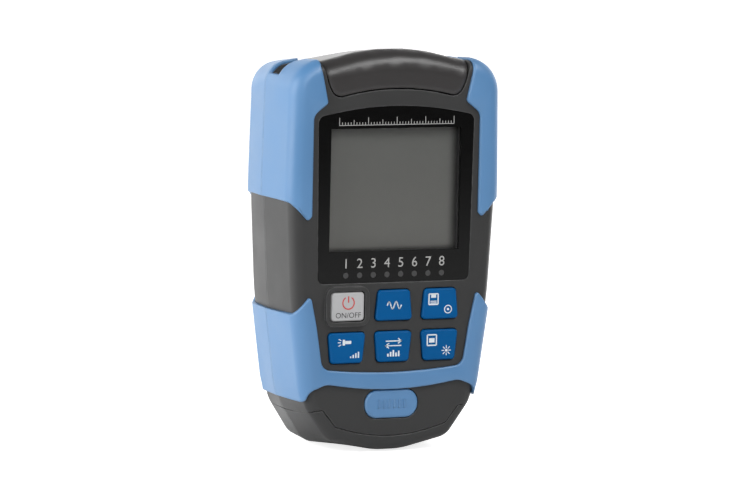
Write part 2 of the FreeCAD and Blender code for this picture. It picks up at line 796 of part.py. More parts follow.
def pillCorners(extra=0.0):
    extra = size(extra)
    half = S["button_width"] / 2 + extra
    tall = S["button_height"] / 2 + extra
    low = S["button_level"] - tall
    high = S["button_level"] + tall
    turn = tall * 0.94
    return [(-half, low, turn), (half, low, turn), (half, high, turn), (-half, high, turn)]


frontCuts = [
    through("lid_cut", lidSpace, -1),
    through("remote_cut", remoteSpace, -1),
    prism("lens_recess", grown("lens_line", lensSeat, S["lens_gap"]), -1, FAR),
    box("view_cut", (-viewHalf, viewHalf), (frontY - 5, insideY + 1), (S["view_low"], S["view_high"])),
    prism("button_cut", outline("button_hole", pillCorners(S["key_gap"]), insideY + 1), -1, FAR),
    box(
        "deck_cut",
        (-S["deck_half"], S["deck_half"]),
        (shelfFront, partingY),
        (deckFloor, S["deck_level"] + 8),
    ),
]
for index in range(8):
    spot = S["lamp_pitch"] * (index - 3.5)
    frontCuts.append(rod("lamp_hole", "Y", S["lamp_radius"] + S["lamp_gap"], 10.0, spot, insideY - 9, S["lamp_level"]))
for name in KEYS:
    hole = outline(name + "_hole", keyFace(name, S["key_gap"]), insideY + 1)
    frontCuts.append(prism(name + "_cut", hole, -1, FAR))

slotFloor = within("slot_floor", S["slot_depth"])[0]
for side in (-1, 1):
    frontCuts.append(cut("slot_groove", cordSlot(side), slotFloor))

frontInside = cut("front_inside", frontHollow, through("lid_well_front", lidWell, -1))
rimLine = outline("rim_line", keyFace("power_key", S["key_gap"] + S["rim_width"]), frontY)
rim = prism("power_rim", rimLine, -1, S["guard_proud"])
frontBosses = bossColumns("front_boss", insideY, S["boss_radius"], S["front_depth"] - S["front_wall"])
frontHoles = bossColumns("front_hole", partingY - 8, S["screw_radius"], 8.0)
frontShelf = cut(
    "front_shelf",
    box("shelf", (-shelfOut, shelfOut), (shelfFront, partingY), (shelfLow, deckFloor)),
    box("shelf_well", (-shelfIn, shelfIn), (shelfFront + S["shelf_width"], FAR), (0.0, FAR * 3)),
)
frontShell = cut(
    "front_shell",
    fuse("front_solid", cut("front_skin", frontBlock, frontInside), rim, frontShelf, *frontBosses),
    *(frontCuts + frontHoles)
)
node(frontShell, "front_shell")

# rear shell with the battery bay
bayHalf = S["cell_pitch"] + S["cell_radius"] + 0.3
bayFloor = rearY - S["door_thick"] - 2 * S["cell_radius"] - 0.8
bayOut = bayHalf + S["bay_wall"]
bayBottom = S["bay_low"] - S["bay_wall"]
bayTop = S["bay_high"] + S["bay_wall"]
doorSeat = rearY - S["door_thick"]
pivotY = rearY - S["knuckle_radius"]
lugStart = S["knuckle_half"] + 0.2

rearInside = cut("rear_inside", rearHollow, through("lid_well_rear", lidWell, 1))
tray = box("tray", (-bayOut, bayOut), (bayFloor - S["bay_wall"], backY + 0.2), (bayBottom, bayTop))
lugs = []
for side in (-1, 1):
    start = side * lugStart if side > 0 else -(lugStart + S["lug_length"])
    lugs.append(rod("lug", "X", S["knuckle_radius"], S["lug_length"], start, pivotY, S["pivot_level"]))
    lugs.append(
        box(
            "lug_web",
            (start, start + S["lug_length"]),
            (pivotY - S["knuckle_radius"], pivotY + 1.0),
            (deckFloor, S["pivot_level"]),
        )
    )
rearShelf = cut(
    "rear_shelf",
    box("shelf", (-shelfOut, shelfOut), (partingY, deckBack), (shelfLow, deckFloor)),
    box("shelf_well", (-shelfIn, shelfIn), (0.0, deckBack - S["shelf_width"]), (0.0, FAR * 3)),
)
rearBosses = bossColumns("rear_boss", partingY, S["boss_radius"], S["rear_depth"] - S["rear_wall"])
rearCuts = [
    through("lid_cut", lidSpace, 1),
    through("remote_cut", remoteSpace, 1),
    box("bay", (-bayHalf, bayHalf), (bayFloor, FAR), (S["bay_low"], S["bay_high"])),
    box("door_cut", (-bayOut, bayOut), (doorSeat, FAR), (bayBottom, bayTop)),
    box(
        "deck_cut",
        (-S["deck_half"], S["deck_half"]),
        (partingY, deckBack),
        (deckFloor, S["deck_level"] + 8),
    ),
    box(
        "rear_wall_top",
        (-S["deck_half"] - 0.6, S["deck_half"] + 0.6),
        (deckBack - 0.1, FAR),
        (S["deck_level"], S["deck_level"] + 8),
    ),
]
for side in (-1, 1):
    low, high = sorted((side * (lugStart + S["lug_length"] + 0.6), side * S["sweep_half"]), key=float)
    sweep = (pivotY - S["sweep_radius"], FAR)
    rearCuts.append(box("lid_sweep", (low, high), sweep, (S["pivot_level"] - S["sweep_radius"], FAR * 3)))
rearSkin = cut("rear_skin", cut("rear_wall_form", rearBlock, rearInside), *rearCuts)
rearFrame = cut(
    "rear_frame",
    fuse("rear_parts", tray, rearShelf, *rearBosses),
    box("bay", (-bayHalf, bayHalf), (bayFloor, FAR), (S["bay_low"], S["bay_high"])),
    box("door_cut", (-bayOut, bayOut), (doorSeat, FAR), (bayBottom, bayTop)),
)
rearShell = cut(
    "rear_shell",
    fuse("rear_solid", rearSkin, rearFrame, *lugs),
    *(
        bossColumns("screw_way", partingY - 1, S["screw_radius"] + 0.2, FAR)
        + bossColumns("head_way", rearY - S["head_sunk"], S["head_radius"] + 0.2, FAR)
        + [rod("pin_hole", "X", S["pin_radius"], FAR * 2, -FAR, pivotY, S["pivot_level"])]
    )
)
node(rearShell, "rear_shell")

# ---------------------------------------------------------------- guards


def upperRegion(side):
    """The face of one upper guard, seen from the front."""
    half = [
        (S["guard_inner"], S["guard_low"] + S["guard_tip_rise"], S["guard_inner_radius"]),
        (S["guard_tip"], S["guard_low"], S["guard_tip_radius"]),
        (S["guard_tip"] + S["guard_slant"], S["guard_side"], S["guard_side_radius"]),
        (FAR, S["guard_side"]),
        (FAR, aboveAll),
        (S["guard_neck"] + S["guard_top_out"], aboveAll),
        (
            S["guard_neck"] + S["guard_bend_out"],
            S["guard_neck_level"] + S["guard_bend_rise"],
            S["guard_bend_radius"],
        ),
        (S["guard_neck"], S["guard_neck_level"], S["guard_neck_radius"]),
        (S["guard_inner"], S["guard_step"], S["guard_step_radius"]),
    ]
    return [(side * c[0],) + tuple(c[1:]) for c in half]


bandHalf = [
    (S["band_half"], S["band_turn"], S["band_turn_radius"]),
    (S["band_knee_half"], S["band_knee"], S["band_knee_radius"]),
    (S["band_side_half"], S["band_side_low"], S["band_side_radius"]),
    (FAR, S["band_side_low"]),
    (FAR, S["horn_side"]),
    (S["horn_half"] + S["horn_slant"], S["horn_side"], S["horn_side_radius"]),
    (S["horn_half"], S["horn_level"], S["horn_radius"]),
    (
        S["horn_half"] - S["horn_waist_in"],
        S["horn_level"] - S["horn_waist_drop"],
        S["horn_waist_radius"],
    ),
    (
        S["horn_half"] - S["horn_root_in"],
        S["band_top"] + S["horn_root_rise"],
        S["horn_root_radius"],
    ),
]
bandCorners = [(0.0, S["band_low"], S["band_low_radius"])] + bandHalf
bandCorners += [(0.0, S["band_top"] - S["band_sag"], S["band_top_radius"])]
bandCorners += [(-size(c[0]),) + tuple(c[1:]) for c in reversed(bandHalf)]

for way, guard, block, end in ((-1, frontGuard, frontBlock, "front"), (1, rearGuard, rearBlock, "rear")):
    for side, name in ((-1, "left"), (1, "right")):
        region = outline("upper_region", upperRegion(side), partingY)
        piece = cut(
            "upper_guard",
            common("upper_band", guard, through("upper_prism", region, way)),
            block,
            through("lid_side", lidSpace, way),
        )
        if way < 0:
            piece = cut("slotted_guard", piece, cordSlot(side))
        node(piece, "upper_guard_%s_%s" % (name, end))
    band = outline("band_region", bandCorners, partingY)
    piece = cut("lower_guard", common("lower_band", guard, through("band_prism", band, way)), block)
    node(piece, "lower_guard_%s" % end)

# ---------------------------------------------------------------- lid

lidFront = rounded("lid_front_form", frontForm, S["lid_radius"], liesAt(frontY))
lidShape = common(
    "lid_shape",
    fuse("lid_form", lidFront, rearBlock),
    fuse("lid_prism", through("lid_forward", lidLine, -1), through("lid_backward", lidLine, 1)),
)
lidCore = grown("lid_core", lidLine, -S["lid_wall"])
roofFront, roofRear = within("lid_roof", S["lid_wall"])
lidRoof = []
for form, radius, low, high, level in (
    (roofFront, S["lid_radius"], frontY + S["lid_wall"], partingY, frontY + S["lid_wall"]),
    (roofRear, S["edge_radius"], partingY, rearY - S["lid_wall"], rearY - S["lid_wall"]),
):
    space = box("lid_depth", (-FAR, FAR), (low, high), (S["lid_low_level"] - 6, FAR * 3))
    top = common("lid_roof_form", form, space)
    lidRoof.append(rounded("lid_roof", top, radius - S["lid_wall"], liesAt(level, S["lid_low_level"])))
lidInside = common(
    "lid_inside",
    fuse("lid_core_prism", through("lid_core_front", lidCore, -1), through("lid_core_rear", lidCore, 1)),
    fuse("lid_roof_prism", *lidRoof),
)
lidMouthHalf = S["lid_low_half"] - S["lid_wall"] - 0.4
lidMouth = box(
    "lid_mouth",
    (-lidMouthHalf, lidMouthHalf),
    (frontY + S["lid_wall"], rearY - S["lid_wall"]),
    (S["lid_low_level"] - 5, S["lid_mid_level"] + 1),
)
knuckleStart = -S["knuckle_half"]
knuckle = rod(
    "knuckle", "X", S["knuckle_radius"], 2 * S["knuckle_half"], knuckleStart, pivotY, S["pivot_level"]
)
knuckleWeb = box(
    "knuckle_web",
    (knuckleStart, S["knuckle_half"]),
    (rearY - S["knuckle_radius"] * 2, rearY),
    (S["pivot_level"], S["pivot_level"] + 2.4),
)
lugSpaces = []
for side in (-1, 1):
    low = side * lugStart if side > 0 else -(lugStart + S["lug_length"] + 0.2)
    lugSpaces.append(
        box(
            "lug_space",
            (low - (0.1 if side > 0 else 0.0), low + S["lug_length"] + 0.3),
            (pivotY - S["knuckle_radius"] - 0.4, FAR),
            (S["lid_low_level"] - 3, S["pivot_level"] + S["knuckle_radius"] + 0.4),
        )
    )
lidSkin = cut(
    "lid_skin",
    lidShape,
    lidInside,
    lidMouth,
    box("lid_heel", (-FAR, FAR), (pivotY - 3.4, FAR), (S["lid_low_level"] - 5, S["pivot_level"])),
    *lugSpaces
)
topLid = cut(
    "top_lid",
    fuse("lid_solid", lidSkin, knuckle, knuckleWeb),
    rod(
        "pin_way", "X", S["pin_radius"] + S["pin_fit"], FAR * 2, -FAR, pivotY, S["pivot_level"]
    ),
)
node(topLid, "top_lid")

pinHalf = lugStart + S["lug_length"]
hingePin = rod("hinge_pin", "X", S["pin_radius"], 2 * pinHalf, -pinHalf, pivotY, S["pivot_level"])
node(hingePin, "hinge_pin")

# ---------------------------------------------------------------- window and display

lens = makeBody("window_lens")
lensFace = bodySketch(lens, lensCorners, lensY)
pad(lens, lensFace, S["lens_thick"])
node(lens, "window_lens")

glassHalf = viewHalf + S["glass_margin"]
glassLow = S["view_low"] - S["glass_margin"]
glassHigh = S["view_high"] + S["glass_margin"]
glassBack = insideY + S["glass_thick"]
glass = box("display_glass", (-glassHalf, glassHalf), (insideY, glassBack), (glassLow, glassHigh))
node(glass, "display_glass")

backlight = cut(
    "backlight_frame",
    box("frame", (-glassHalf, glassHalf), (glassBack, boardY), (glassLow, glassHigh)),
    box("frame_well", (-glassHalf + 2, glassHalf - 2), (glassBack + 1.5, FAR), (glassLow + 2, glassHigh - 2)),
)
node(backlight, "backlight_frame")

lampBarHalf = lampHalf + 2.5
lampParts = [
    box(
        "lamp_bar",
        (-lampBarHalf, lampBarHalf),
        (insideY, insideY + 2),
        (S["lamp_level"] - S["lamp_bar_half"], S["lamp_level"] + S["lamp_bar_half"]),
    )
]
lampReach = S["front_wall"] - S["lens_thick"] - S["lamp_gap"]
for index in range(8):
    spot = S["lamp_pitch"] * (index - 3.5)
    lamp = rod("lamp", "Y", S["lamp_radius"], lampReach, spot, insideY - lampReach, S["lamp_level"])
    lampParts.append(lamp)
node(fuse("lamp_row", *lampParts), "lamp_row")

boardHalf = S["board_half"]
boardLow = S["core_high"] + 1.6
boardBack = boardY + S["board_thick"]
board = box("main_board", (-boardHalf, boardHalf), (boardY, boardBack), (boardLow, S["board_high"]))
node(board, "main_board")

# ---------------------------------------------------------------- keys

matFront = insideY + S["mat_drop"]
matBack = matFront + S["mat_thick"]
matHalf = S["mat_half"]
matParts = [box("mat", (-matHalf, matHalf), (matFront, matBack), (boardLow + 0.4, S["lamp_level"] - 3))]
for name, (column, row, top, bottom, tall) in KEYS.items():
    domeTall = boardY - matFront - S["mat_thick"]
    matParts.append(rod("dome", "Y", S["dome_radius"], domeTall, keyColumns[column], matBack, S[row]))
node(fuse("keypad_mat", *matParts), "keypad_mat")

for name in KEYS:
    key = makeBody(name)
    proud = S["guard_proud"] - S["key_sunk"]
    pad(key, bodySketch(key, keyFace(name), insideY), S["front_wall"] + proud)
    pad(key, bodySketch(key, keyFace(name, S["key_flange"]), insideY), S["flange_thick"], backwards=True)
    bevelFace(key, frontY - proud, S["key_bevel"])
    node(key, name)

button = makeBody("release_button")
pad(button, bodySketch(button, pillCorners(), insideY), S["front_wall"] + S["button_proud"])
pad(button, bodySketch(button, pillCorners(S["key_flange"]), insideY), S["flange_thick"], backwards=True)
catchHalf = S["catch_half"]
catchLow = S["button_level"] + S["catch_rise"]
catchHigh = catchLow + S["catch_tall"]
catchFace = [(-catchHalf, catchLow), (catchHalf, catchLow), (catchHalf, catchHigh), (-catchHalf, catchHigh)]
pad(button, bodySketch(button, catchFace, insideY + 1), S["catch_reach"], backwards=True)
bevelFace(button, frontY - S["button_proud"], S["key_bevel"])
node(button, "release_button")

# ---------------------------------------------------------------- deck and ports

jackFront = boardY + S["board_thick"]
jackMiddle = jackFront + S["jack_depth"] / 2
jackTop = S["deck_level"] + S["jack_proud"]


def socket(stem, x, y, top):
    """A cable socket that opens upwards, with its latch notch to the front."""
    body = box(
        stem,
        (x - S["jack_width"] / 2, x + S["jack_width"] / 2),
        (y - S["jack_depth"] / 2, y + S["jack_depth"] / 2),
        (top - S["jack_length"], top),
    )
    low = top - S["plug_length"]
    back = y + S["jack_depth"] / 2 - 1.4
    front = back - S["plug_depth"]
    ways = []
    for half, fore in ((S["plug_width"] / 2, front), (size(3.0), front - 1.6), (size(1.7), front - 2.8)):
        ways.append(box("plug_way", (x - half, x + half), (fore, back), (low, top + 1)))
    return cut(stem, body, *ways), low, back


def contacts(stem, x, back, low):
    """Eight spring contacts on the back wall of a socket."""
    wires = []
    for index in range(8):
        spot = x + 1.02 * (index - 3.5)
        wires.append(box("wire", (spot - 0.2, spot + 0.2), (back - 1.2, back), (low, low + 8)))
    return group(stem, *wires)


jack, jackLow, jackBack = socket("cable_socket", S["jack_place"], jackMiddle, jackTop)
node(jack, "cable_socket")
node(contacts("socket_contacts", S["jack_place"], jackBack, jackLow), "socket_contacts")

deckBody = box(
    "deck",
    (-S["deck_half"] + S["deck_gap"], S["deck_half"] - S["deck_gap"]),
    (shelfFront + S["deck_gap"], deckBack - S["deck_gap"]),
    (deckFloor, S["deck_level"]),
)
jackHole = box(
    "jack_hole",
    (S["jack_place"] - S["jack_width"] / 2 - 0.1, S["jack_place"] + S["jack_width"] / 2 + 0.1),
    (jackFront - 0.1, jackFront + S["jack_depth"] + 0.1),
    (deckFloor - 1, S["deck_level"] + 1),
)
meterStem = S["meter_radius"] + 0.5
locatorStem = S["locator_radius"] - 0.4
deck = cut(
    "port_deck",
    deckBody,
    jackHole,
    rod("meter_hole", "Z", meterStem, 10.0, -S["meter_place"], 0.0, deckFloor - 4),
    rod("locator_hole", "Z", locatorStem, 10.0, -S["locator_place"], S["locator_back"], deckFloor - 4),
    rod("torch_hole", "Z", S["torch_radius"], 10.0, -S["locator_place"], -S["torch_front"], deckFloor - 4),
    box(
        "lug_room",
        (-pinHalf - 0.3, pinHalf + 0.3),
        (pivotY - S["knuckle_radius"] - 0.3, FAR),
        (deckFloor - 1, S["deck_level"] + 1),
    ),
)
node(deck, "port_deck")

meterPort = makeBody("meter_port")
spin(
    meterPort,
    [
        (S["meter_bore"], -11.0),
        (meterStem, -11.0),
        (meterStem, 0.0),
        (S["meter_flange"], 0.0),
        (S["meter_flange"], 1.6),
        (S["meter_radius"], 1.6),
        (S["meter_radius"], S["port_rise"] - 0.5),
        (S["meter_radius"] - 0.5, S["port_rise"]),
        (S["meter_bore"], S["port_rise"]),
    ],
)
put(meterPort, -S["meter_place"], 0.0, S["deck_level"])
node(meterPort, "meter_port")
node(rod("detector", "Z", meterStem - 0.6, 4.6, -S["meter_place"], 0.0, S["deck_level"] - 15.6), "detector")

locatorPort = makeBody("locator_port")
spin(
    locatorPort,
    [
        (S["meter_bore"], -6.0),
        (locatorStem, -6.0),
        (locatorStem, 0.0),
        (S["locator_radius"] + 0.9, 0.0),
        (S["locator_radius"] + 0.9, 1.2),
        (S["locator_radius"], 1.2),
        (S["locator_radius"], S["port_rise"] - 0.4),
        (S["locator_radius"] - 0.4, S["port_rise"]),
        (S["meter_bore"], S["port_rise"]),
    ],
)
put(locatorPort, -S["locator_place"], S["locator_back"], S["deck_level"])
node(locatorPort, "locator_port")
laser = rod("laser", "Z", locatorStem, 9.0, -S["locator_place"], S["locator_back"], S["deck_level"] - 15)
node(laser, "laser_module")

torch = makeBody("torch_lamp")
torchR = S["torch_radius"]
spin(
    torch,
    [
        (0.0, -4.4),
        (torchR, -4.4),
        (torchR, 0.0),
        (torchR + 0.5, 0.0),
        (torchR + 0.5, 0.6),
        (torchR, 0.6),
        (torchR - 0.1, 2.0),
        (torchR - 0.9, 2.9),
        (0.0, 3.3),
    ],
)
put(torch, -S["locator_place"], -S["torch_front"], S["deck_level"])
node(torch, "torch_lamp")

# ---------------------------------------------------------------- batteries

doorHalf = bayOut - S["door_gap"]
doorLow = bayBottom + S["door_gap"]
doorHigh = bayTop - S["door_gap"]
doorParts = [box("door", (-doorHalf, doorHalf), (doorSeat, rearY), (doorLow, doorHigh))]
for side in (-1, 1):
    for level in (S["bay_low"] + 2, S["bay_high"] - 8):
        edge = side * (bayHalf - 0.2)
        low, high = sorted((edge, edge - side * 1.2), key=float)
        doorParts.append(box("door_rib", (low, high), (doorSeat - 2, doorSeat), (level, level + 6)))
gripCuts = []
for index in range(4):
    level = doorHigh - 5 - 2.2 * index
    gripCuts.append(box("grip", (-8.0, 8.0), (rearY - 0.6, FAR), (level - 0.5, level + 0.5)))
node(cut("battery_door", fuse("door_solid", *doorParts), *gripCuts), "battery_door")

cellY = bayFloor + S["cell_radius"] + 0.3
cellLow = S["bay_low"] + 4.0
cellTop = cellLow + S["cell_length"]
cells = []
for index in (-1, 0, 1):
    x = S["cell_pitch"] * index
    cells.append(
        fuse(
            "cell",
            rod("can", "Z", S["cell_radius"], S["cell_length"], x, cellY, cellLow),
            rod("nub", "Z", 2.6, 1.4, x, cellY, cellTop),
        )
    )
node(group("battery_cells", *cells), "battery_cells")

strips = []
for index in (-1, 0, 1):
    x = S["cell_pitch"] * index
    low = S["bay_low"]
    strips.append(
        fuse(
            "spring_strip",
            box("strip", (x - 5, x + 5), (cellY - 5, cellY + 5), (low, low + 0.5)),
            rod("spring", "Z", 3.4, 3.5, x, cellY, low + 0.5),
        )
    )
    plateLow = cellTop + 1.4
    strips.append(box("strip", (x - 5, x + 5), (cellY - 5, cellY + 5), (plateLow, S["bay_high"])))
node(group("battery_contacts", *strips), "battery_contacts")

# ---------------------------------------------------------------- screws

screws = []
for half, level in (("screw_high_half", "screw_high"), ("screw_low_half", "screw_low")):
    for side in (-1, 1):
        x = side * S[half]
        seat = rearY - S["head_sunk"]
        shank = rod("shank", "Y", S["screw_radius"], screwLength, x, partingY - 8, S[level])
        head = rod("head", "Y", S["head_radius"], S["head_thick"], x, seat, S[level])
        bars = []
        for wide, tall in ((0.3, 1.2), (1.2, 0.3)):
            bars.append(
                box(
                    "drive",
                    (x - wide, x + wide),
                    (seat + S["head_thick"] - 0.8, FAR),
                    (S[level] - tall, S[level] + tall),
                )
            )
        screws.append(cut("screw", fuse("screw_solid", shank, head), *bars))
node(group("shell_screws", *screws), "shell_screws")

# ---------------------------------------------------------------- remote unit

for way, block, hollow, end in ((-1, frontBlock, frontHollow, "front"), (1, rearBlock, rearHollow, "rear")):
    piece = cut(
        "remote_shell",
        common("remote_form", block, through("remote_prism", remoteLine, way)),
        hollow,
        box("under_foot", (-FAR, FAR), (-FAR, FAR), (-FAR, 0.0)),
    )
    node(piece, "remote_shell_%s" % end)

coreFront = frontY + S["core_front"]
coreBack = rearY - S["core_back"]
coreMiddle = (coreFront + coreBack) / 2
remoteTop = S["core_high"]
coreBox = box("core_box", (-S["core_half"], S["core_half"]), (coreFront, coreBack), (0.0, S["core_high"]))
core = cut(
    "remote_core",
    common("core_form", fuse("hollows", frontHollow, rearHollow), coreBox),
    box(
        "jack_pocket",
        (-S["jack_width"] / 2, S["jack_width"] / 2),
        (coreMiddle - S["jack_depth"] / 2, coreMiddle + S["jack_depth"] / 2),
        (remoteTop - S["jack_length"], FAR),
    ),
    box("catch_way", (-3.4, 3.4), (coreFront - 1, coreFront + 2), (catchLow - 3, FAR)),
)
node(core, "remote_core")
remoteJack, remoteLow, remoteBack = socket("remote_socket", size(0.0), coreMiddle, remoteTop)
node(remoteJack, "remote_socket")
node(contacts("remote_contacts", size(0.0), remoteBack, remoteLow), "remote_contacts")

# ---------------------------------------------------------------- checks and files

doc.recompute()
for thing in doc.Objects:
    if "Invalid" in thing.State or "Error" in thing.State:
        raise RuntimeError("%s (%s) did not build: %s" % (thing.Name, thing.Label, thing.State))
for thing in nodes:
    if thing.Shape.isNull() or not thing.Shape.isValid() or not thing.Shape.Solids:
        raise RuntimeError("%s has no valid solid" % thing.Label)

os.makedirs("parts", exist_ok=True)
for thing in nodes:
    thing.Shape.exportStep("parts/%s.step" % thing.Label)
    volume = sum(solid.Volume for solid in thing.Shape.Solids)
    bounds = thing.Shape.BoundBox
    print("%-26s %2d %9.1f  x %6.1f %6.1f  y %6.1f %6.1f  z %6.1f %6.1f" % (
        thing.Label, len(thing.Shape.Solids), volume,
        bounds.XMin, bounds.XMax, bounds.YMin, bounds.YMax, bounds.ZMin, bounds.ZMax,
    ))
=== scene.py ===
import math

import bpy
from mathutils import Matrix, Vector


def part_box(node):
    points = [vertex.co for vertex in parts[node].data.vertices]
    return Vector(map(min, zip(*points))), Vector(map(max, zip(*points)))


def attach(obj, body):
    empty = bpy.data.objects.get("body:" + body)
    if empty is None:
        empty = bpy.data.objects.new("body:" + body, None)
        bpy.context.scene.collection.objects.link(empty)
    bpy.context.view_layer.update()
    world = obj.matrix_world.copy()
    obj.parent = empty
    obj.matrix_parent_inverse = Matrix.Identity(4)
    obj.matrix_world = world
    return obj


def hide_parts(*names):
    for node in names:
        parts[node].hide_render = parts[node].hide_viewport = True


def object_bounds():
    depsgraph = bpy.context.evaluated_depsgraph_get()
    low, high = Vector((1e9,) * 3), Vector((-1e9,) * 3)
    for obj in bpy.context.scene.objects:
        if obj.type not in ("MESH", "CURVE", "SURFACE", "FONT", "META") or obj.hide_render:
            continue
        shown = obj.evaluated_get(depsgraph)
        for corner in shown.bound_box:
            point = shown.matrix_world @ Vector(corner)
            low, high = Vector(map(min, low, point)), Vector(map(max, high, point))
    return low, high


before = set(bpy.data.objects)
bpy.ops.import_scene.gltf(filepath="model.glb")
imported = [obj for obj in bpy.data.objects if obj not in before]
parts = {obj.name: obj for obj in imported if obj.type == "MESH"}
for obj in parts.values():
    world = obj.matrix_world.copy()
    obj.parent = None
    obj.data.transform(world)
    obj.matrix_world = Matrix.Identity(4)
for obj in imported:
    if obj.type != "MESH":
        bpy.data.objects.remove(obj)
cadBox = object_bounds()
print("frame loaded:", len(parts), "parts")

mm = 0.001  # the scene is in metres, small marks are given in millimetres
hair = 0.01 * mm  # points closer than this count as one
square = 0.9  # a face looks along an axis where its normal has this much of it


def clearSelection():
    if bpy.context.object and bpy.context.object.mode != "OBJECT":
        bpy.ops.object.mode_set(mode="OBJECT")
    bpy.ops.object.select_all(action="DESELECT")


def pickOnly(piece):
    clearSelection()
    piece.select_set(True)
    bpy.context.view_layer.objects.active = piece


def settle(piece, name):
    # leaves the place in the mesh and the object at the origin
    pickOnly(piece)
    bpy.ops.object.transform_apply(location=True, rotation=True, scale=True)
    piece.name = name
    piece.data.name = name
    return piece


def joinPieces(pieces, name):
    clearSelection()
    for piece in pieces:
        piece.select_set(True)
    bpy.context.view_layer.objects.active = pieces[0]
    if len(pieces) > 1:
        bpy.ops.object.join()
    return settle(bpy.context.object, name)


def finishPiece(piece, body, material):
    piece.data.materials.clear()
    piece.data.materials.append(material)
    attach(piece, body)


def editAll():
    # edit mode with everything selected
    bpy.ops.object.mode_set(mode="EDIT")
    bpy.ops.mesh.select_all(action="SELECT")


def editOnly(piece, kind, wanted):
    # edit mode with only the wanted faces or edges selected
    bpy.ops.object.mode_set(mode="EDIT")
    bpy.ops.mesh.select_mode(type=kind)
    bpy.ops.mesh.select_all(action="DESELECT")
    leaveEdit()
    for item in piece.data.polygons if kind == "FACE" else piece.data.edges:
        item.select = wanted(item)
    bpy.ops.object.mode_set(mode="EDIT")


def leaveEdit():
    bpy.ops.object.mode_set(mode="OBJECT")


def facesOut():
    bpy.ops.mesh.select_all(action="SELECT")
    bpy.ops.mesh.normals_make_consistent(inside=False)


def edgeEnds(piece, edge):
    return [piece.data.vertices[index].co for index in edge.vertices]


def addBlock(size, place, name, bevel=0.0, steps=1):
    # a block with all its edges bevelled
    clearSelection()
    bpy.ops.mesh.primitive_cube_add(size=1)
    block = bpy.context.object
    block.scale = size
    block.location = place
    settle(block, name)
    if bevel:
        editAll()
        bpy.ops.mesh.bevel(offset=bevel, segments=steps)
        leaveEdit()
    return block


# building of materials

def tint(red, green, blue):
    # a screen colour of 0 to 255 as the numbers that the shaders work in
    steps = [value / 255 for value in (red, green, blue)]
    linear = [s / 12.92 if s <= 0.04045 else ((s + 0.055) / 1.055) ** 2.4 for s in steps]
    return tuple(linear) + (1.0,)


def feed(tree, node, inputs):
    # each input takes the output of another node or a plain value
    for label, value in inputs.items():
        if isinstance(value, bpy.types.NodeSocket):
            tree.links.new(value, node.inputs[label])
        else:
            node.inputs[label].default_value = value


def addNode(tree, kind, place, inputs=None, **settings):
    node = tree.nodes.new("ShaderNode" + kind)
    node.location = place
    for key, value in settings.items():
        setattr(node, key, value)
    feed(tree, node, inputs or {})
    return node


def addMath(tree, operation, place, *values, clamp=False):
    inputs = dict(enumerate(values))
    node = addNode(tree, "Math", place, inputs, operation=operation, use_clamp=clamp)
    return node.outputs[0]


def addNoise(tree, place, spot, scale, detail=2.0):
    noise = addNode(tree, "TexNoise", place, {"Vector": spot, "Scale": scale, "Detail": detail})
    return noise.outputs["Fac"]


def addRange(tree, place, value, source=(0.0, 1.0), result=(0.0, 1.0), **settings):
    inputs = {"Value": value, "From Min": source[0], "From Max": source[1]}
    inputs["To Min"], inputs["To Max"] = result
    return addNode(tree, "MapRange", place, inputs, **settings).outputs["Result"]


def addMix(tree, place, factor, first, second):
    inputs = {"Factor": factor, "A": first, "B": second}
    return addNode(tree, "Mix", place, inputs, data_type="RGBA").outputs["Result"]


def addBump(tree, place, height, strength, inputs=None):
    inputs = {"Height": height, "Strength": strength, "Distance": 0.1 * mm, **(inputs or {})}
    return addNode(tree, "Bump", place, inputs).outputs["Normal"]


def objectSpot(tree, place):
    return addNode(tree, "TexCoord", place).outputs["Object"]


def newGroup(name, inputs):
    # a group with named inputs that puts out a colour, a roughness and a normal
    group = bpy.data.node_groups.new(name, "ShaderNodeTree")
    for label, value in inputs.items():
        kind = "NodeSocketColor" if isinstance(value, tuple) else "NodeSocketFloat"
        socket = group.interface.new_socket(name=label, in_out="INPUT", socket_type=kind)
        socket.default_value = value
    for label, kind in (("Color", "Color"), ("Roughness", "Float"), ("Normal", "Vector")):
        group.interface.new_socket(
            name=label, in_out="OUTPUT", socket_type="NodeSocket" + kind
        )
    start = group.nodes.new("NodeGroupInput")
    end = group.nodes.new("NodeGroupOutput")
    start.location = (-1200, 0)
    end.location = (700, 0)
    return group, start.outputs, end


skinPlan = {
    "cloudScale": 45.0,
    "cloudDetail": 3.0,
    "cloudRange": (0.3, 0.7),
    "patchScale": 260.0,
    "patchDetail": 4.0,
    "patchRange": (0.35, 0.62),
    "edgeRange": (0.995, 0.80),
    "edgeSamples": 6,
}


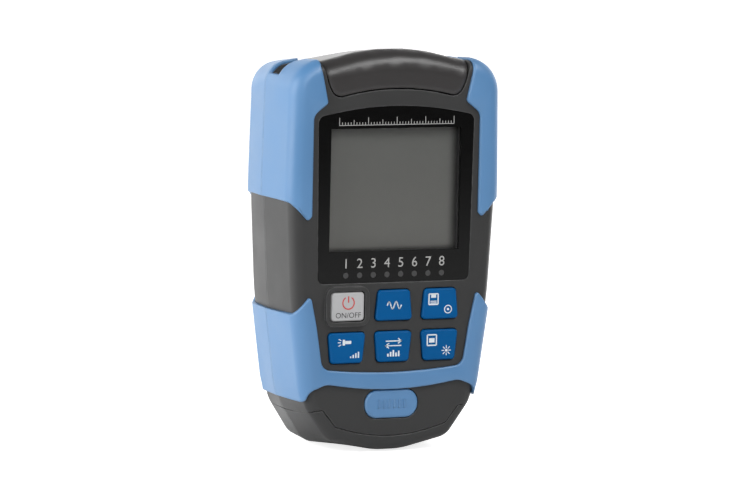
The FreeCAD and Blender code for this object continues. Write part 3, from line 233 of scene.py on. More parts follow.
def makeMouldedSkin():
    # moulded plastic or rubber: faint clouds of tone, a fine spark grain, and a painted highlight
    # along the edges
    plan = skinPlan
    group, given, end = newGroup(
        "mouldedSkin",
        {
            "Base": (0.5, 0.5, 0.5, 1),
            "Edge": (0.7, 0.7, 0.7, 1),
            "Edge Highlight Amount": 0.3,
            "Edge Width": 0.0006,
            "Cloud Amount": 0.06,
            "Grain Scale": 3500.0,
            "Grain Depth": 0.1,
            "Roughness": 0.5,
            "Smudge": 0.08,
        },
    )
    spot = objectSpot(group, (-1200, 400))
    clouds = addNoise(group, (-950, 420), spot, plan["cloudScale"], plan["cloudDetail"])
    cloudy = addRange(group, (-750, 420), clouds, plan["cloudRange"], (-1.0, 1.0))
    lift = addMath(group, "MULTIPLY", (-550, 420), cloudy, given["Cloud Amount"])
    gain = addMath(group, "ADD", (-380, 420), lift, 1.0)
    ground = addNode(
        group, "VectorMath", (-200, 420), {0: given["Base"], "Scale": gain}, operation="SCALE"
    )

    # a corner is where the rounded normal leaves the true one; there a lighter edge colour is
    # mixed in as a painted highlight, broken up in patches
    reach = {"Radius": given["Edge Width"]}
    bevel = addNode(group, "Bevel", (-950, -200), reach, samples=plan["edgeSamples"])
    facing = addNode(group, "NewGeometry", (-950, -350))
    normals = {0: bevel.outputs["Normal"], 1: facing.outputs["Normal"]}
    turn = addNode(group, "VectorMath", (-750, -250), normals, operation="DOT_PRODUCT")
    edge = addRange(group, (-560, -250), turn.outputs["Value"], plan["edgeRange"])
    patches = addNoise(group, (-950, 80), spot, plan["patchScale"], plan["patchDetail"])
    patchy = addRange(group, (-750, 80), patches, plan["patchRange"])
    # painted edge highlight: the corner mask broken up by the patches, scaled by its amount
    patchyEdgeHighlight = addMath(group, "MULTIPLY", (-380, -150), edge, patchy)
    amount = addMath(group, "MULTIPLY", (-200, -150), patchyEdgeHighlight, given["Edge Highlight Amount"])
    colour = addMix(group, (0, 300), amount, ground.outputs["Vector"], given["Edge"])

    haze = addMath(group, "MULTIPLY", (-380, 80), cloudy, given["Smudge"])
    rough = addMath(group, "ADD", (-200, 80), given["Roughness"], haze, clamp=True)
    grain = addNoise(group, (-560, -480), spot, given["Grain Scale"])
    rounded = {"Normal": bevel.outputs["Normal"]}
    normal = addBump(group, (-200, -400), grain, given["Grain Depth"], rounded)
    feed(group, end, {"Color": colour, "Roughness": rough, "Normal": normal})
    return group


metalPlan = {
    "cloudScale": 420.0,
    "cloudDetail": 5.0,
    "cloudRange": (0.4, 0.75),
    "dulling": 0.5,
}


def makeTurnedMetal():
    # turned or drawn metal: fine rings or lines, a little tarnish
    plan = metalPlan
    group, given, end = newGroup(
        "turnedMetal",
        {
            "Base": (0.7, 0.7, 0.7, 1),
            "Tarnish": (0.3, 0.28, 0.25, 1),
            "Tarnish Amount": 0.2,
            "Line Scale": 4000.0,
            "Line Depth": 0.15,
            "Roughness": 0.25,
        },
    )
    spot = objectSpot(group, (-1100, 200))
    cloud = addNoise(group, (-850, 300), spot, plan["cloudScale"], plan["cloudDetail"])
    spread = addRange(group, (-650, 300), cloud, plan["cloudRange"])
    amount = addMath(group, "MULTIPLY", (-450, 300), spread, given["Tarnish Amount"])
    colour = addMix(group, (-200, 300), amount, given["Base"], given["Tarnish"])
    dull = (amount, plan["dulling"], given["Roughness"])
    rough = addMath(group, "MULTIPLY_ADD", (-200, 60), *dull, clamp=True)
    split = addNode(group, "SeparateXYZ", (-850, -200), {0: spot})
    reading = {"W": split.outputs["Z"], "Scale": given["Line Scale"]}
    lines = addNode(group, "TexNoise", (-600, -200), reading, noise_dimensions="1D")
    normal = addBump(group, (-300, -200), lines.outputs["Fac"], given["Line Depth"])
    feed(group, end, {"Color": colour, "Roughness": rough, "Normal": normal})
    return group


def newFinish(name, values, group=None, skin=None):
    # a Principled material, its looks from a group or from the values alone
    material = bpy.data.materials.new(name)
    material.use_nodes = True
    tree = material.node_tree
    shader = tree.nodes["Principled BSDF"]
    if group:
        node = addNode(tree, "Group", (-350, 100), skin, node_tree=group)
        feed(tree, shader, {"Base Color": node.outputs["Color"]})
        feed(tree, shader, {label: node.outputs[label] for label in ("Roughness", "Normal")})
    feed(tree, shader, values)
    return material, tree, shader


# tones of the moulded pieces and of the painted highlights along their edges, as screen colours
mouldedPlan = {
    "caseGrey": dict(
        base=(52, 52, 52), edge=(118, 118, 118), rough=0.42, grain=0.14,
        edgeHighlightAmount=0.5, edgeWidth=0.0007, specular=0.42,
    ),
    "lidGrey": dict(
        base=(54, 52, 52), edge=(98, 95, 92), rough=0.34, grain=0.08,
        edgeWidth=0.002, smudge=0.01,
    ),
    "guardBlue": dict(
        base=(82, 132, 180), edge=(150, 184, 216), rough=0.42, grain=0.06,
        edgeHighlightAmount=0.35, edgeWidth=0.0009, cloud=0.03, specular=0.9,
    ),
    "keyBlue": dict(
        base=(0, 86, 146), edge=(60, 120, 170), rough=0.38, grain=0.05,
        edgeWidth=0.0004, specular=0.12,
    ),
    "keyLight": dict(
        base=(181, 181, 182), edge=(225, 225, 225), rough=0.42, grain=0.05, specular=0.3,
    ),
    "siliconeGrey": dict(base=(120, 122, 124), edge=(150, 150, 150), rough=0.6, grain=0.1),
    "socketBlack": dict(base=(28, 28, 29), edge=(60, 60, 60), rough=0.4, grain=0.08),
    "frameWhite": dict(base=(222, 222, 216), edge=(240, 240, 236), rough=0.35, grain=0.04),
    "boardGreen": dict(
        base=(22, 92, 52), edge=(150, 140, 80), rough=0.3, grain=0.12, grainScale=900.0,
    ),
    "cellGrey": dict(base=(70, 72, 76), edge=(150, 150, 150), rough=0.28, grain=0.02),
    "lampSmoke": dict(base=(74, 74, 74), edge=(110, 110, 110), rough=0.3, grain=0.02),
}
turnedPlan = {
    "portNickel": dict(base=(214, 212, 206), tarnish=(130, 122, 108), rough=0.22),
    "plainSteel": dict(base=(190, 190, 190), tarnish=(110, 108, 104), rough=0.34),
    "contactGold": dict(base=(232, 196, 112), tarnish=(150, 112, 52), rough=0.24),
}
mouldedSkin = makeMouldedSkin()
turnedMetal = makeTurnedMetal()


def mouldedFinish(
    name, base, edge, rough, grain, grainScale=3500.0,
    edgeHighlightAmount=0.25, edgeWidth=0.0005, cloud=0.05, specular=0.5, smudge=0.08,
):
    # edge and its amount give the painted highlight along the edges
    skin = {
        "Base": tint(*base),
        "Edge": tint(*edge),
        "Edge Highlight Amount": edgeHighlightAmount,
        "Edge Width": edgeWidth,
        "Cloud Amount": cloud,
        "Grain Scale": grainScale,
        "Grain Depth": grain,
        "Roughness": rough,
        "Smudge": smudge,
    }
    return newFinish(name, {"Specular IOR Level": specular}, mouldedSkin, skin)[0]


def turnedFinish(name, base, tarnish, rough):
    skin = {"Base": tint(*base), "Tarnish": tint(*tarnish), "Roughness": rough}
    return newFinish(name, {"Metallic": 1.0}, turnedMetal, skin)[0]


finishes = {name: mouldedFinish(name, **values) for name, values in mouldedPlan.items()}
for name, values in turnedPlan.items():
    finishes[name] = turnedFinish(name, **values)
print("moulded and metal finishes made")

windowFinish = {
    "tones": ((8, 8, 8), (12, 12, 12)),
    "wipeScale": 160.0,
    "wipeDetail": 6.0,
    "wipeStretch": 6.0,
    "rough": (0.10, 0.20),
    "specular": 0.25,
}


def makeWindowBlack():
    # gloss black with a faint haze of fine wipe marks
    plan = windowFinish
    material, tree, shader = newFinish(
        "windowBlack", {"Specular IOR Level": plan["specular"]}
    )
    spot = objectSpot(tree, (-900, 0))
    stretch = addNode(
        tree, "Mapping", (-720, 0), {"Vector": spot, "Scale": (1.0, 1.0, plan["wipeStretch"])}
    )
    marks = stretch.outputs["Vector"]
    wipes = addNoise(tree, (-540, 0), marks, plan["wipeScale"], plan["wipeDetail"])
    rough = addRange(tree, (-340, -80), wipes, result=plan["rough"])
    tone = addMix(tree, (-340, 160), wipes, *[tint(*tone) for tone in plan["tones"]])
    feed(tree, shader, {"Roughness": rough, "Base Color": tone})
    return material


# display tones, lighter below as painted light, and the span and depth of the painted recess
# shadow at its right and bottom edges
displayPlan = {
    "lowTone": (121, 121, 117),
    "highTone": (113, 114, 111),
    "rightDark": 0.0244,
    "rightLight": 0.0203,
    "lowDark": 0.0686,
    "lowLight": 0.0708,
    "recessShadowTone": 0.12,
    "fleckScale": 2600.0,
    "flecks": (0.96, 1.04),
    "rough": 0.5,
}


def makeDisplayGrey():
    # a switched-off display: grey, a little lighter below as painted light, and darker towards
    # its right and bottom frame as a painted shadow of its recess
    plan = displayPlan
    low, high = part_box("display_glass")
    material, tree, shader = newFinish("displayGrey", {"Roughness": plan["rough"]})
    spot = objectSpot(tree, (-1300, 0))
    split = addNode(tree, "SeparateXYZ", (-1120, 0), {0: spot})
    across, up = split.outputs["X"], split.outputs["Z"]
    # painted light: the display is lighter below than above
    rise = addRange(tree, (-900, 200), up, (low.z, high.z))
    shade = addMix(tree, (-650, 200), rise, tint(*plan["lowTone"]), tint(*plan["highTone"]))
    # painted shadow of the recess: darker towards the right and bottom edges of the display
    recessShadows = []
    edges = (
        (across, (plan["rightDark"], plan["rightLight"]), -450),
        (up, (plan["lowDark"], plan["lowLight"]), -700),
    )
    for value, source, row in edges:
        result = (plan["recessShadowTone"], 1.0)
        recessShadows.append(
            addRange(tree, (-900, row), value, source, result, interpolation_type="SMOOTHSTEP")
        )
    recessShadowed = addMath(tree, "MULTIPLY", (-650, -500), *recessShadows)
    speck = addNoise(tree, (-900, -200), spot, plan["fleckScale"])
    fleck = addRange(tree, (-650, -200), speck, result=plan["flecks"])
    # the flecks times the painted recess shadow
    tone = addMath(tree, "MULTIPLY", (-500, -250), fleck, recessShadowed)
    flecked = addNode(
        tree, "VectorMath", (-400, 100), {0: shade, "Scale": tone}, operation="SCALE"
    )
    feed(tree, shader, {"Base Color": flecked.outputs["Vector"]})
    return material


panePlan = {"tone": (30, 30, 30), "alpha": 0.12, "dustScale": 900.0, "rough": (0.06, 0.14)}


def makeClearPane():
    plan = panePlan
    values = {"Base Color": tint(*plan["tone"]), "Alpha": plan["alpha"]}
    material, tree, shader = newFinish("clearPane", values)
    dust = addNoise(tree, (-500, 0), objectSpot(tree, (-700, 0)), plan["dustScale"])
    feed(tree, shader, {"Roughness": addRange(tree, (-300, 0), dust, result=plan["rough"])})
    return material


inkPlan = {"filmScale": 2200.0, "filmThin": 0.93}
inks = {
    "inkGrey": ((176, 176, 174), 0.5),
    "inkWhite": ((232, 238, 242), 0.5),
    "inkRed": ((206, 66, 62), 0.5),
    "inkDark": ((62, 62, 64), 0.5),
    "lampPrint": ((66, 66, 66), 0.3),
    "wrapRed": ((150, 54, 40), 0.35),
}


def makePaint(name, colour, rough):
    # screen printed ink with a slightly uneven film
    material, tree, shader = newFinish(name, {"Roughness": rough})
    film = addNoise(tree, (-700, 0), objectSpot(tree, (-900, 0)), inkPlan["filmScale"])
    thin = tint(*[value * inkPlan["filmThin"] for value in colour])
    shade = addMix(tree, (-350, 100), film, thin, tint(*colour))
    feed(tree, shader, {"Base Color": shade})
    return material


torchPlan = {"tone": (225, 232, 238), "rough": 0.06, "clear": 0.8, "ripples": 700.0, "depth": 0.1}


def makeClearLamp():
    plan = torchPlan
    values = {"Base Color": tint(*plan["tone"]), "Roughness": plan["rough"]}
    values["Transmission Weight"] = plan["clear"]
    material, tree, shader = newFinish("clearLamp", values)
    ripple = addNoise(tree, (-500, 0), objectSpot(tree, (-700, 0)), plan["ripples"])
    feed(tree, shader, {"Normal": addBump(tree, (-250, -150), ripple, plan["depth"])})
    return material


finishes["windowBlack"] = makeWindowBlack()
finishes["displayGrey"] = makeDisplayGrey()
finishes["clearPane"] = makeClearPane()
finishes["clearLamp"] = makeClearLamp()
for name, (colour, rough) in inks.items():
    finishes[name] = makePaint(name, colour, rough)

partsIn = {
    "caseGrey": (
        "front_shell", "rear_shell", "battery_door", "remote_shell_front", "remote_shell_rear",
    ),
    "lidGrey": ("top_lid",),
    "guardBlue": (
        "release_button", "upper_guard_left_front", "upper_guard_right_front",
        "lower_guard_front", "upper_guard_left_rear", "upper_guard_right_rear",
        "lower_guard_rear",
    ),
    "keyBlue": ("key_wavelength", "key_reference", "key_torch", "key_unit", "key_locator"),
    "keyLight": ("power_key",),
    "windowBlack": ("window_lens",),
    "displayGrey": ("display_glass",),
    "frameWhite": ("backlight_frame",),
    "lampSmoke": ("lamp_row",),
    "boardGreen": ("main_board",),
    "siliconeGrey": ("keypad_mat",),
    "socketBlack": ("cable_socket", "port_deck", "remote_core", "remote_socket"),
    "contactGold": ("socket_contacts", "remote_contacts", "laser_module"),
    "portNickel": ("meter_port", "locator_port"),
    "plainSteel": ("detector", "hinge_pin", "battery_contacts", "shell_screws"),
    "clearLamp": ("torch_lamp",),
    "cellGrey": ("battery_cells",),
}
for finish, names in partsIn.items():
    for name in names:
        parts[name].data.materials.clear()
        parts[name].data.materials.append(finishes[finish])
print("finishes laid on the parts")


# the window is a black plate round a clear pane
windowPlan = {
    "viewLeft": -0.0241,
    "viewRight": 0.0241,
    "viewLow": 0.0691,
    "viewHigh": 0.1109,
    "punchDepth": 0.02,
    "paneGap": 0.00001,
    "paneInset": 0.00004,
}


def copyPart(name):
    # a welded copy of a CAD part, left active and selected
    piece = parts[name].copy()
    piece.data = parts[name].data.copy()
    for key in list(piece.keys()):
        del piece[key]
    piece.parent = None
    bpy.context.scene.collection.objects.link(piece)
    pickOnly(piece)
    editAll()
    bpy.ops.mesh.remove_doubles(threshold=hair / 10)
    leaveEdit()
    return piece


def makeWindow():
    plan = windowPlan
    low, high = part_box("window_lens")
    plate = copyPart("window_lens")
    middle = Vector(
        (
            (plan["viewLeft"] + plan["viewRight"]) / 2,
            (low.y + high.y) / 2,
            (plan["viewLow"] + plan["viewHigh"]) / 2,
        )
    )
    width = plan["viewRight"] - plan["viewLeft"]
    height = plan["viewHigh"] - plan["viewLow"]
    punch = addBlock((width, plan["punchDepth"], height), middle, "punch")
    hole = plate.modifiers.new("hole", "BOOLEAN")
    hole.object = punch
    hole.solver = "EXACT"
    pickOnly(plate)
    bpy.ops.object.modifier_apply(modifier="hole")
    bpy.data.objects.remove(punch)
    settle(plate, "windowPlate")
    finishPiece(plate, "housing", finishes["windowBlack"])
    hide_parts("window_lens")

    gap, inset = plan["paneGap"], plan["paneInset"]
    size = (width - gap, high.y - low.y - inset, height - gap)
    pane = addBlock(size, middle, "windowPane", inset)
    finishPiece(pane, "housing", finishes["clearPane"])


makeWindow()
print("window made")

# soft guards with their front edges rounded
guardPlan = {
    "edgeRound": 0.0007,
    "edgeSteps": 3,
    "frontDepth": 0.0012,
    "frontTurn": -0.8,
    "flatAngle": 0.5,
    "sharpAngle": 45.0,
    "smoothAngle": 34.0,
    "bandLevel": 0.0255,
    "bandRound": 0.0004,
}


def softenGuard(name, newName, lowest, edgeRound):
    # rounds the sharp edges at the front that lie above the lowest level given
    plan = guardPlan
    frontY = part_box(name)[0].y + plan["frontDepth"]
    piece = copyPart(name)
    bpy.ops.mesh.customdata_custom_splitnormals_clear()
    editAll()
    bpy.ops.mesh.dissolve_limited(angle_limit=math.radians(plan["flatAngle"]))
    leaveEdit()
    sides = {}
    for face in piece.data.polygons:
        for key in face.edge_keys:
            sides.setdefault(key, []).append(face.normal.copy())
    limit = math.cos(math.radians(plan["sharpAngle"]))

    def wanted(edge):
        normals = sides[tuple(sorted(edge.vertices))]
        atFront = all(end.y < frontY and end.z > lowest for end in edgeEnds(piece, edge))
        sharp = len(normals) == 2 and normals[0].dot(normals[1]) < limit
        return atFront and sharp and min(normals[0].y, normals[1].y) < plan["frontTurn"]

    editOnly(piece, "EDGE", wanted)
    bpy.ops.mesh.bevel(offset=edgeRound, segments=plan["edgeSteps"], clamp_overlap=False)
    bpy.ops.mesh.select_all(action="SELECT")
    bpy.ops.mesh.quads_convert_to_tris()
    bpy.ops.mesh.remove_doubles(threshold=hair)
    facesOut()
    leaveEdit()
    bpy.ops.object.shade_smooth_by_angle(angle=math.radians(plan["smoothAngle"]))
    settle(piece, newName)
    finishPiece(piece, "housing", finishes["guardBlue"])
    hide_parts(name)


softenGuard("upper_guard_left_front", "guardLeftSoft", 0.0, guardPlan["edgeRound"])
softenGuard("upper_guard_right_front", "guardRightSoft", 0.0, guardPlan["edgeRound"])
softenGuard("lower_guard_front", "guardLowSoft", guardPlan["bandLevel"], guardPlan["bandRound"])
print("guards softened")

# printing on the window: digits, lamp spots and a plain scale
printPlan = {
    "inkDepth": 0.00003,
    "letterSteps": 4,
    "cornerSteps": 4,
    "ringSides": 48,
    "spotSides": 32,
    "dotSides": 20,
    "lampCount": 8,
    "digitSize": 0.0047,
    "digitLevel": 0.0650,
    "lampPitch": 0.00508,
    "lampLevel": 0.0611,
    "lampRadius": 0.00098,
    "scaleFoot": 0.1121,
    "scaleHalf": 0.0212,
    "scaleSteps": 40,
    "scaleLine": 0.00022,
    "tickEach": 0.0010,
    "tickFifth": 0.0018,
    "tickTenth": 0.0026,
}
inkDepth = printPlan["inkDepth"]


def layText(text, size, place, name):
    # lettering that faces the front, as a thin film of ink
    clearSelection()
    bpy.ops.object.text_add(location=(0, 0, 0))
    letters = bpy.context.object
    letters.data.body = text
    letters.data.size = size
    letters.data.align_x = "CENTER"
    letters.data.align_y = "CENTER"
    letters.data.extrude = inkDepth / 2
    letters.data.resolution_u = printPlan["letterSteps"]
    bpy.ops.object.convert(target="MESH")
    letters = bpy.context.object
    letters.rotation_euler = (math.pi / 2, 0, 0)
    letters.location = place
    return settle(letters, name)


def layDisc(radius, place, sides):
    # a round spot of ink with a softened rim
    clearSelection()
    bpy.ops.mesh.primitive_cylinder_add(
        vertices=sides, radius=radius, depth=inkDepth, rotation=(math.pi / 2, 0, 0)
    )
    disc = settle(bpy.context.object, "disc")
    editOnly(disc, "FACE", lambda face: face.normal.y < -square)
    bpy.ops.mesh.inset(thickness=inkDepth / 2, depth=0)
    bpy.ops.transform.translate(value=(0, -inkDepth / 3, 0))
    leaveEdit()
    disc.location = place
    return settle(disc, "disc")


def layBar(width, height, place, turn=0.0, corner=0.0):
    # a flat bar of ink, turned in the plane of the front
    bar = addBlock((width, inkDepth, height), (0, 0, 0), "bar")
    if corner:

        def upright(edge):
            ends = edgeEnds(bar, edge)
            return abs(ends[0].y - ends[1].y) > inkDepth / 2

        editOnly(bar, "EDGE", upright)
        bpy.ops.mesh.bevel(offset=corner, segments=printPlan["cornerSteps"])
        leaveEdit()
    bar.rotation_euler = (0, -turn, 0)
    bar.location = place
    return settle(bar, "bar")


def layRing(radius, width, place, gap=0.0):
    # a ring of ink, open at the top by an angle in degrees
    clearSelection()
    bpy.ops.mesh.primitive_circle_add(
        vertices=printPlan["ringSides"],
        radius=radius + width / 2,
        fill_type="NGON",
        rotation=(math.pi / 2, 0, 0),
    )
    ring = settle(bpy.context.object, "ring")
    editAll()
    bpy.ops.mesh.inset(thickness=width, depth=0)
    bpy.ops.mesh.delete(type="FACE")

    def inGap(face):
        return abs(math.degrees(math.atan2(face.center.x, face.center.z))) < gap / 2

    editOnly(ring, "FACE", inGap)
    if gap:
        bpy.ops.mesh.delete(type="FACE")
    bpy.ops.mesh.select_all(action="SELECT")
    bpy.ops.mesh.extrude_region_move(TRANSFORM_OT_translate={"value": (0, inkDepth, 0)})
    facesOut()
    leaveEdit()
    ring.location = Vector(place) - Vector((0, inkDepth / 2, 0))
    return settle(ring, "ring")


def printWindow():
    plan = printPlan
    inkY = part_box("window_lens")[0].y - inkDepth / 2
    digits = []
    spots = []
    for index in range(plan["lampCount"]):
        x = plan["lampPitch"] * (index - (plan["lampCount"] - 1) / 2)
        digitPlace = (x, inkY, plan["digitLevel"])
        digits.append(layText(str(index + 1), plan["digitSize"], digitPlace, "digit"))
        spotPlace = (x, inkY, plan["lampLevel"])
        spots.append(layDisc(plan["lampRadius"], spotPlace, plan["spotSides"]))
    grey = finishes["inkGrey"]
    finishPiece(joinPieces(digits, "lampDigits"), "housing", grey)
    finishPiece(joinPieces(spots, "lampSpots"), "housing", finishes["lampPrint"])

    steps, line, foot = plan["scaleSteps"], plan["scaleLine"], plan["scaleFoot"]
    ticks = []
    for index in range(steps + 1):
        x = plan["scaleHalf"] * (index / steps * 2 - 1)
        tall = plan["tickEach"]
        if index % 5 == 0:
            tall = plan["tickFifth"]
        if index % 10 == 0:
            tall = plan["tickTenth"]
        ticks.append(layBar(line, tall, (x, inkY, foot + tall / 2)))
    ticks.append(layBar(plan["scaleHalf"] * 2 + line, line, (0, inkY, foot)))
    finishPiece(joinPieces(ticks, "levelScale"), "housing", grey)


printWindow()
print("window printed")


# signs on the keys, in millimetres from the middle of each key

def onKey(name, right, up):
    low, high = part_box(name)
    middle = (low + high) / 2
    return (middle.x + right * mm, low.y - inkDepth / 2, middle.z + up * mm)


def keyBar(name, right, up, wide, tall, turn=0.0, corner=0.0):
    return layBar(wide * mm, tall * mm, onKey(name, right, up), turn, corner * mm)


def keyRing(name, right, up, radius, line, gap=0.0):
    return layRing(radius * mm, line * mm, onKey(name, right, up), gap)


def keyDot(name, right, up, radius):
    return layDisc(radius * mm, onKey(name, right, up), printPlan["dotSides"])


def keyFrame(name, right, up, wide, tall, line):
    # an upright rectangle drawn with four bars
    return [
        keyBar(name, right, up + tall / 2, wide, line),
        keyBar(name, right, up - tall / 2, wide, line),
        keyBar(name, right - wide / 2, up, line, tall),
        keyBar(name, right + wide / 2, up, line, tall),
    ]


def signKey(pieces, signName, keyName):
    sign = joinPieces(pieces, signName)
    finishPiece(sign, keyName + "_body", finishes["inkWhite"])


powerPlan = {
    "right": 0.2,
    "ringUp": 1.3,
    "ringRadius": 2.1,
    "ringGap": 64,
    "line": 0.42,
    "stemUp": 2.5,
    "stemTall": 2.2,
    "stemRound": 0.1,
    "words": "ON/OFF",
    "wordSize": 2.6,
    "wordUp": -3.0,
}


def powerSign():
    name, plan = "power_key", powerPlan
    right, line = plan["right"], plan["line"]
    ring = keyRing(name, right, plan["ringUp"], plan["ringRadius"], line, plan["ringGap"])
    stem = keyBar(
        name, right, plan["stemUp"], line, plan["stemTall"], corner=plan["stemRound"]
    )
    sign = joinPieces([ring, stem], "powerSign")
    finishPiece(sign, "power_key_body", finishes["inkRed"])
    place = onKey(name, right, plan["wordUp"])
    words = layText(plan["words"], plan["wordSize"] * mm, place, "onOff")
    finishPiece(words, "power_key_body", finishes["inkDark"])


wavePlan = {
    "half": 2.6, "height": 1.3, "waves": 2, "steps": 14, "line": 0.42, "lap": 0.3, "round": 0.2,
}


def waveSign():
    name, plan = "key_wavelength", wavePlan
    points = []
    for index in range(plan["steps"] + 1):
        share = index / plan["steps"]
        up = plan["height"] * math.sin(share * plan["waves"] * 2 * math.pi)
        points.append((plan["half"] * (2 * share - 1), up))
    pieces = []
    for (x1, z1), (x2, z2) in zip(points, points[1:]):
        long = math.hypot(x2 - x1, z2 - z1) + plan["lap"]
        turn = math.atan2(z2 - z1, x2 - x1)
        middle = ((x1 + x2) / 2, (z1 + z2) / 2)
        pieces.append(keyBar(name, *middle, long, plan["line"], turn, plan["round"]))
    signKey(pieces, "waveSign", name)


storePlan = {
    "card": (-2.6, 1.6, 3.4, 3.6, 0.45),  # right, up, width, height, line
    "label": (-2.6, 2.7, 1.8, 1.2),
    "rules": ((-2.6, 0.9, 2.3, 0.3), (-2.6, 0.3, 2.3, 0.3)),
    "ring": (2.9, -2.0, 1.3, 0.32),  # right, up, radius, line
    "dot": (2.9, -2.0, 0.42),
}


def storeSign():
    name, plan = "key_reference", storePlan
    pieces = keyFrame(name, *plan["card"])
    pieces.append(keyBar(name, *plan["label"]))
    pieces += [keyBar(name, *rule) for rule in plan["rules"]]
    pieces.append(keyRing(name, *plan["ring"]))
    pieces.append(keyDot(name, *plan["dot"]))
    signKey(pieces, "storeSign", name)


torchSignPlan = {
    "handle": (0.4, 2.0, 2.2, 1.1),
    "head": (-1.2, 2.0, 0.9, 2.0),
    "round": 0.2,
    "rayTurns": (-28, 0, 28),
    "rayFrom": (-0.9, 2.0),
    "rayReach": 2.0,
    "ray": (1.1, 0.3),
    "stepCount": 4,
    "stepFrom": (1.4, -3.1),
    "stepPitch": 0.95,
    "stepWide": 0.5,
    "stepTall": 0.6,
    "stepGrowth": 0.5,
}


def torchSign():
    name, plan = "key_torch", torchSignPlan
    pieces = [keyBar(name, *plan[part], corner=plan["round"]) for part in ("handle", "head")]
    for degrees in plan["rayTurns"]:
        turn = math.radians(degrees)
        right = plan["rayFrom"][0] - plan["rayReach"] * math.cos(turn)
        up = plan["rayFrom"][1] - plan["rayReach"] * math.sin(turn)
        pieces.append(keyBar(name, right, up, *plan["ray"], turn))
    for index in range(plan["stepCount"]):
        growth = plan["stepGrowth"] * index
        right = plan["stepFrom"][0] + plan["stepPitch"] * index
        up = plan["stepFrom"][1] + growth / 2
        pieces.append(keyBar(name, right, up, plan["stepWide"], plan["stepTall"] + growth))
    signKey(pieces, "torchSign", name)


unitPlan = {
    "arrows": ((1.9, 1), (0.3, -1)),  # level and direction
    "arrowLong": 5.8,
    "line": 0.36,
    "headLong": 1.7,
    "headTip": 2.9,
    "headBack": 0.65,
    "headTurn": 35,
    "bars": (1.0, 1.6, 2.2, 1.3, 1.9),
    "barWide": 0.6,
    "barFrom": (-2.0, -3.4),
}


def unitSign():
    name, plan = "key_unit", unitPlan
    pieces = []
    for level, way in plan["arrows"]:
        pieces.append(keyBar(name, 0, level, plan["arrowLong"], plan["line"]))
        for degrees in (plan["headTurn"], -plan["headTurn"]):
            turn = math.radians(degrees)
            right = way * (plan["headTip"] - plan["headBack"] * math.cos(turn))
            up = level + plan["headBack"] * math.sin(turn)
            pieces.append(keyBar(name, right, up, plan["headLong"], plan["line"], -turn * way))
    for index, tall in enumerate(plan["bars"]):
        right = plan["barFrom"][0] + index
        up = plan["barFrom"][1] + tall / 2
        pieces.append(keyBar(name, right, up, plan["barWide"], tall))
    signKey(pieces, "unitSign", name)


locatorPlan = {
    "card": (-2.9, 1.7, 3.4, 3.6, 0.45),
    "label": (-2.9, 1.6, 2.0, 1.5),
    "sun": (2.6, -2.0),
    "rays": 8,
    "rayReach": 1.25,
    "ray": (1.0, 0.28),
    "dotRadius": 0.5,
}


def locatorSign():
    name, plan = "key_locator", locatorPlan
    pieces = keyFrame(name, *plan["card"])
    pieces.append(keyBar(name, *plan["label"]))
    right, up = plan["sun"]
    for index in range(plan["rays"]):
        turn = index * 2 * math.pi / plan["rays"]
        outX, outZ = plan["rayReach"] * math.cos(turn), plan["rayReach"] * math.sin(turn)
        pieces.append(keyBar(name, right + outX, up + outZ, *plan["ray"], turn))
    pieces.append(keyDot(name, right, up, plan["dotRadius"]))
    signKey(pieces, "locatorSign", name)


powerSign()
waveSign()
storeSign()
torchSign()
unitSign()
locatorSign()
print("keys signed")

buttonPlan = {
    "ribCount": 6,
    "ribPitch": 0.0019,
    "ribWidth": 0.0007,
    "ribTall": 0.0031,
    "ribHeight": 0.0003,
    "ribBevel": 0.00021,
    "ribSteps": 2,
}


def makeButtonRibs():
    # a short row of raised grip ribs
    plan = buttonPlan
    low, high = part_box("release_button")
    middle = (low + high) / 2
    size = (plan["ribWidth"], plan["ribHeight"] * 2, plan["ribTall"])
    ribs = []
    for index in range(plan["ribCount"]):
        rib = addBlock(size, (0, 0, 0), "rib", plan["ribBevel"], plan["ribSteps"])
        across = plan["ribPitch"] * (index - (plan["ribCount"] - 1) / 2)
        rib.location = (middle.x + across, low.y, middle.z)
        ribs.append(settle(rib, "rib"))
    finishPiece(joinPieces(ribs, "buttonRibs"), "release", finishes["guardBlue"])


sillPlan = {
    "width": 0.0406,
    "depth": 0.0048,
    "forward": 0.0021,
    "underPin": 0.00235,
    "underDeck": 0.0018,
    "bevel": 0.0003,
    "steps": 3,
}


def makeHingeSill():
    # the low wall of the housing under the knuckle of the lid
    plan = sillPlan
    pinLow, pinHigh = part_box("hinge_pin")
    axis = (pinLow + pinHigh) / 2
    top = axis.z - plan["underPin"]
    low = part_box("port_deck")[1].z - plan["underDeck"]
    size = (plan["width"], plan["depth"], top - low)
    place = (0, axis.y - plan["forward"], (top + low) / 2)
    sill = addBlock(size, place, "hingeSill", plan["bevel"], plan["steps"])
    finishPiece(sill, "housing", finishes["caseGrey"])


def hollowOut(piece, wall):
    # opens a cylinder to a tube with walls of the thickness given
    editOnly(piece, "FACE", lambda face: abs(face.normal.z) > square)
    bpy.ops.mesh.inset(thickness=wall, depth=0)
    bpy.ops.mesh.bridge_edge_loops()


threadPlan = {
    "pitch": 0.00062,
    "height": 0.00022,
    "width": 0.000434,
    "wall": 0.0004,
    "bevel": 0.000132,
    "sides": 48,
    "meter": {"radius": 0.0040, "foot": 0.0022, "nose": 0.0006},
    "locator": {"radius": 0.0034, "foot": 0.0018, "nose": 0.0005},
}


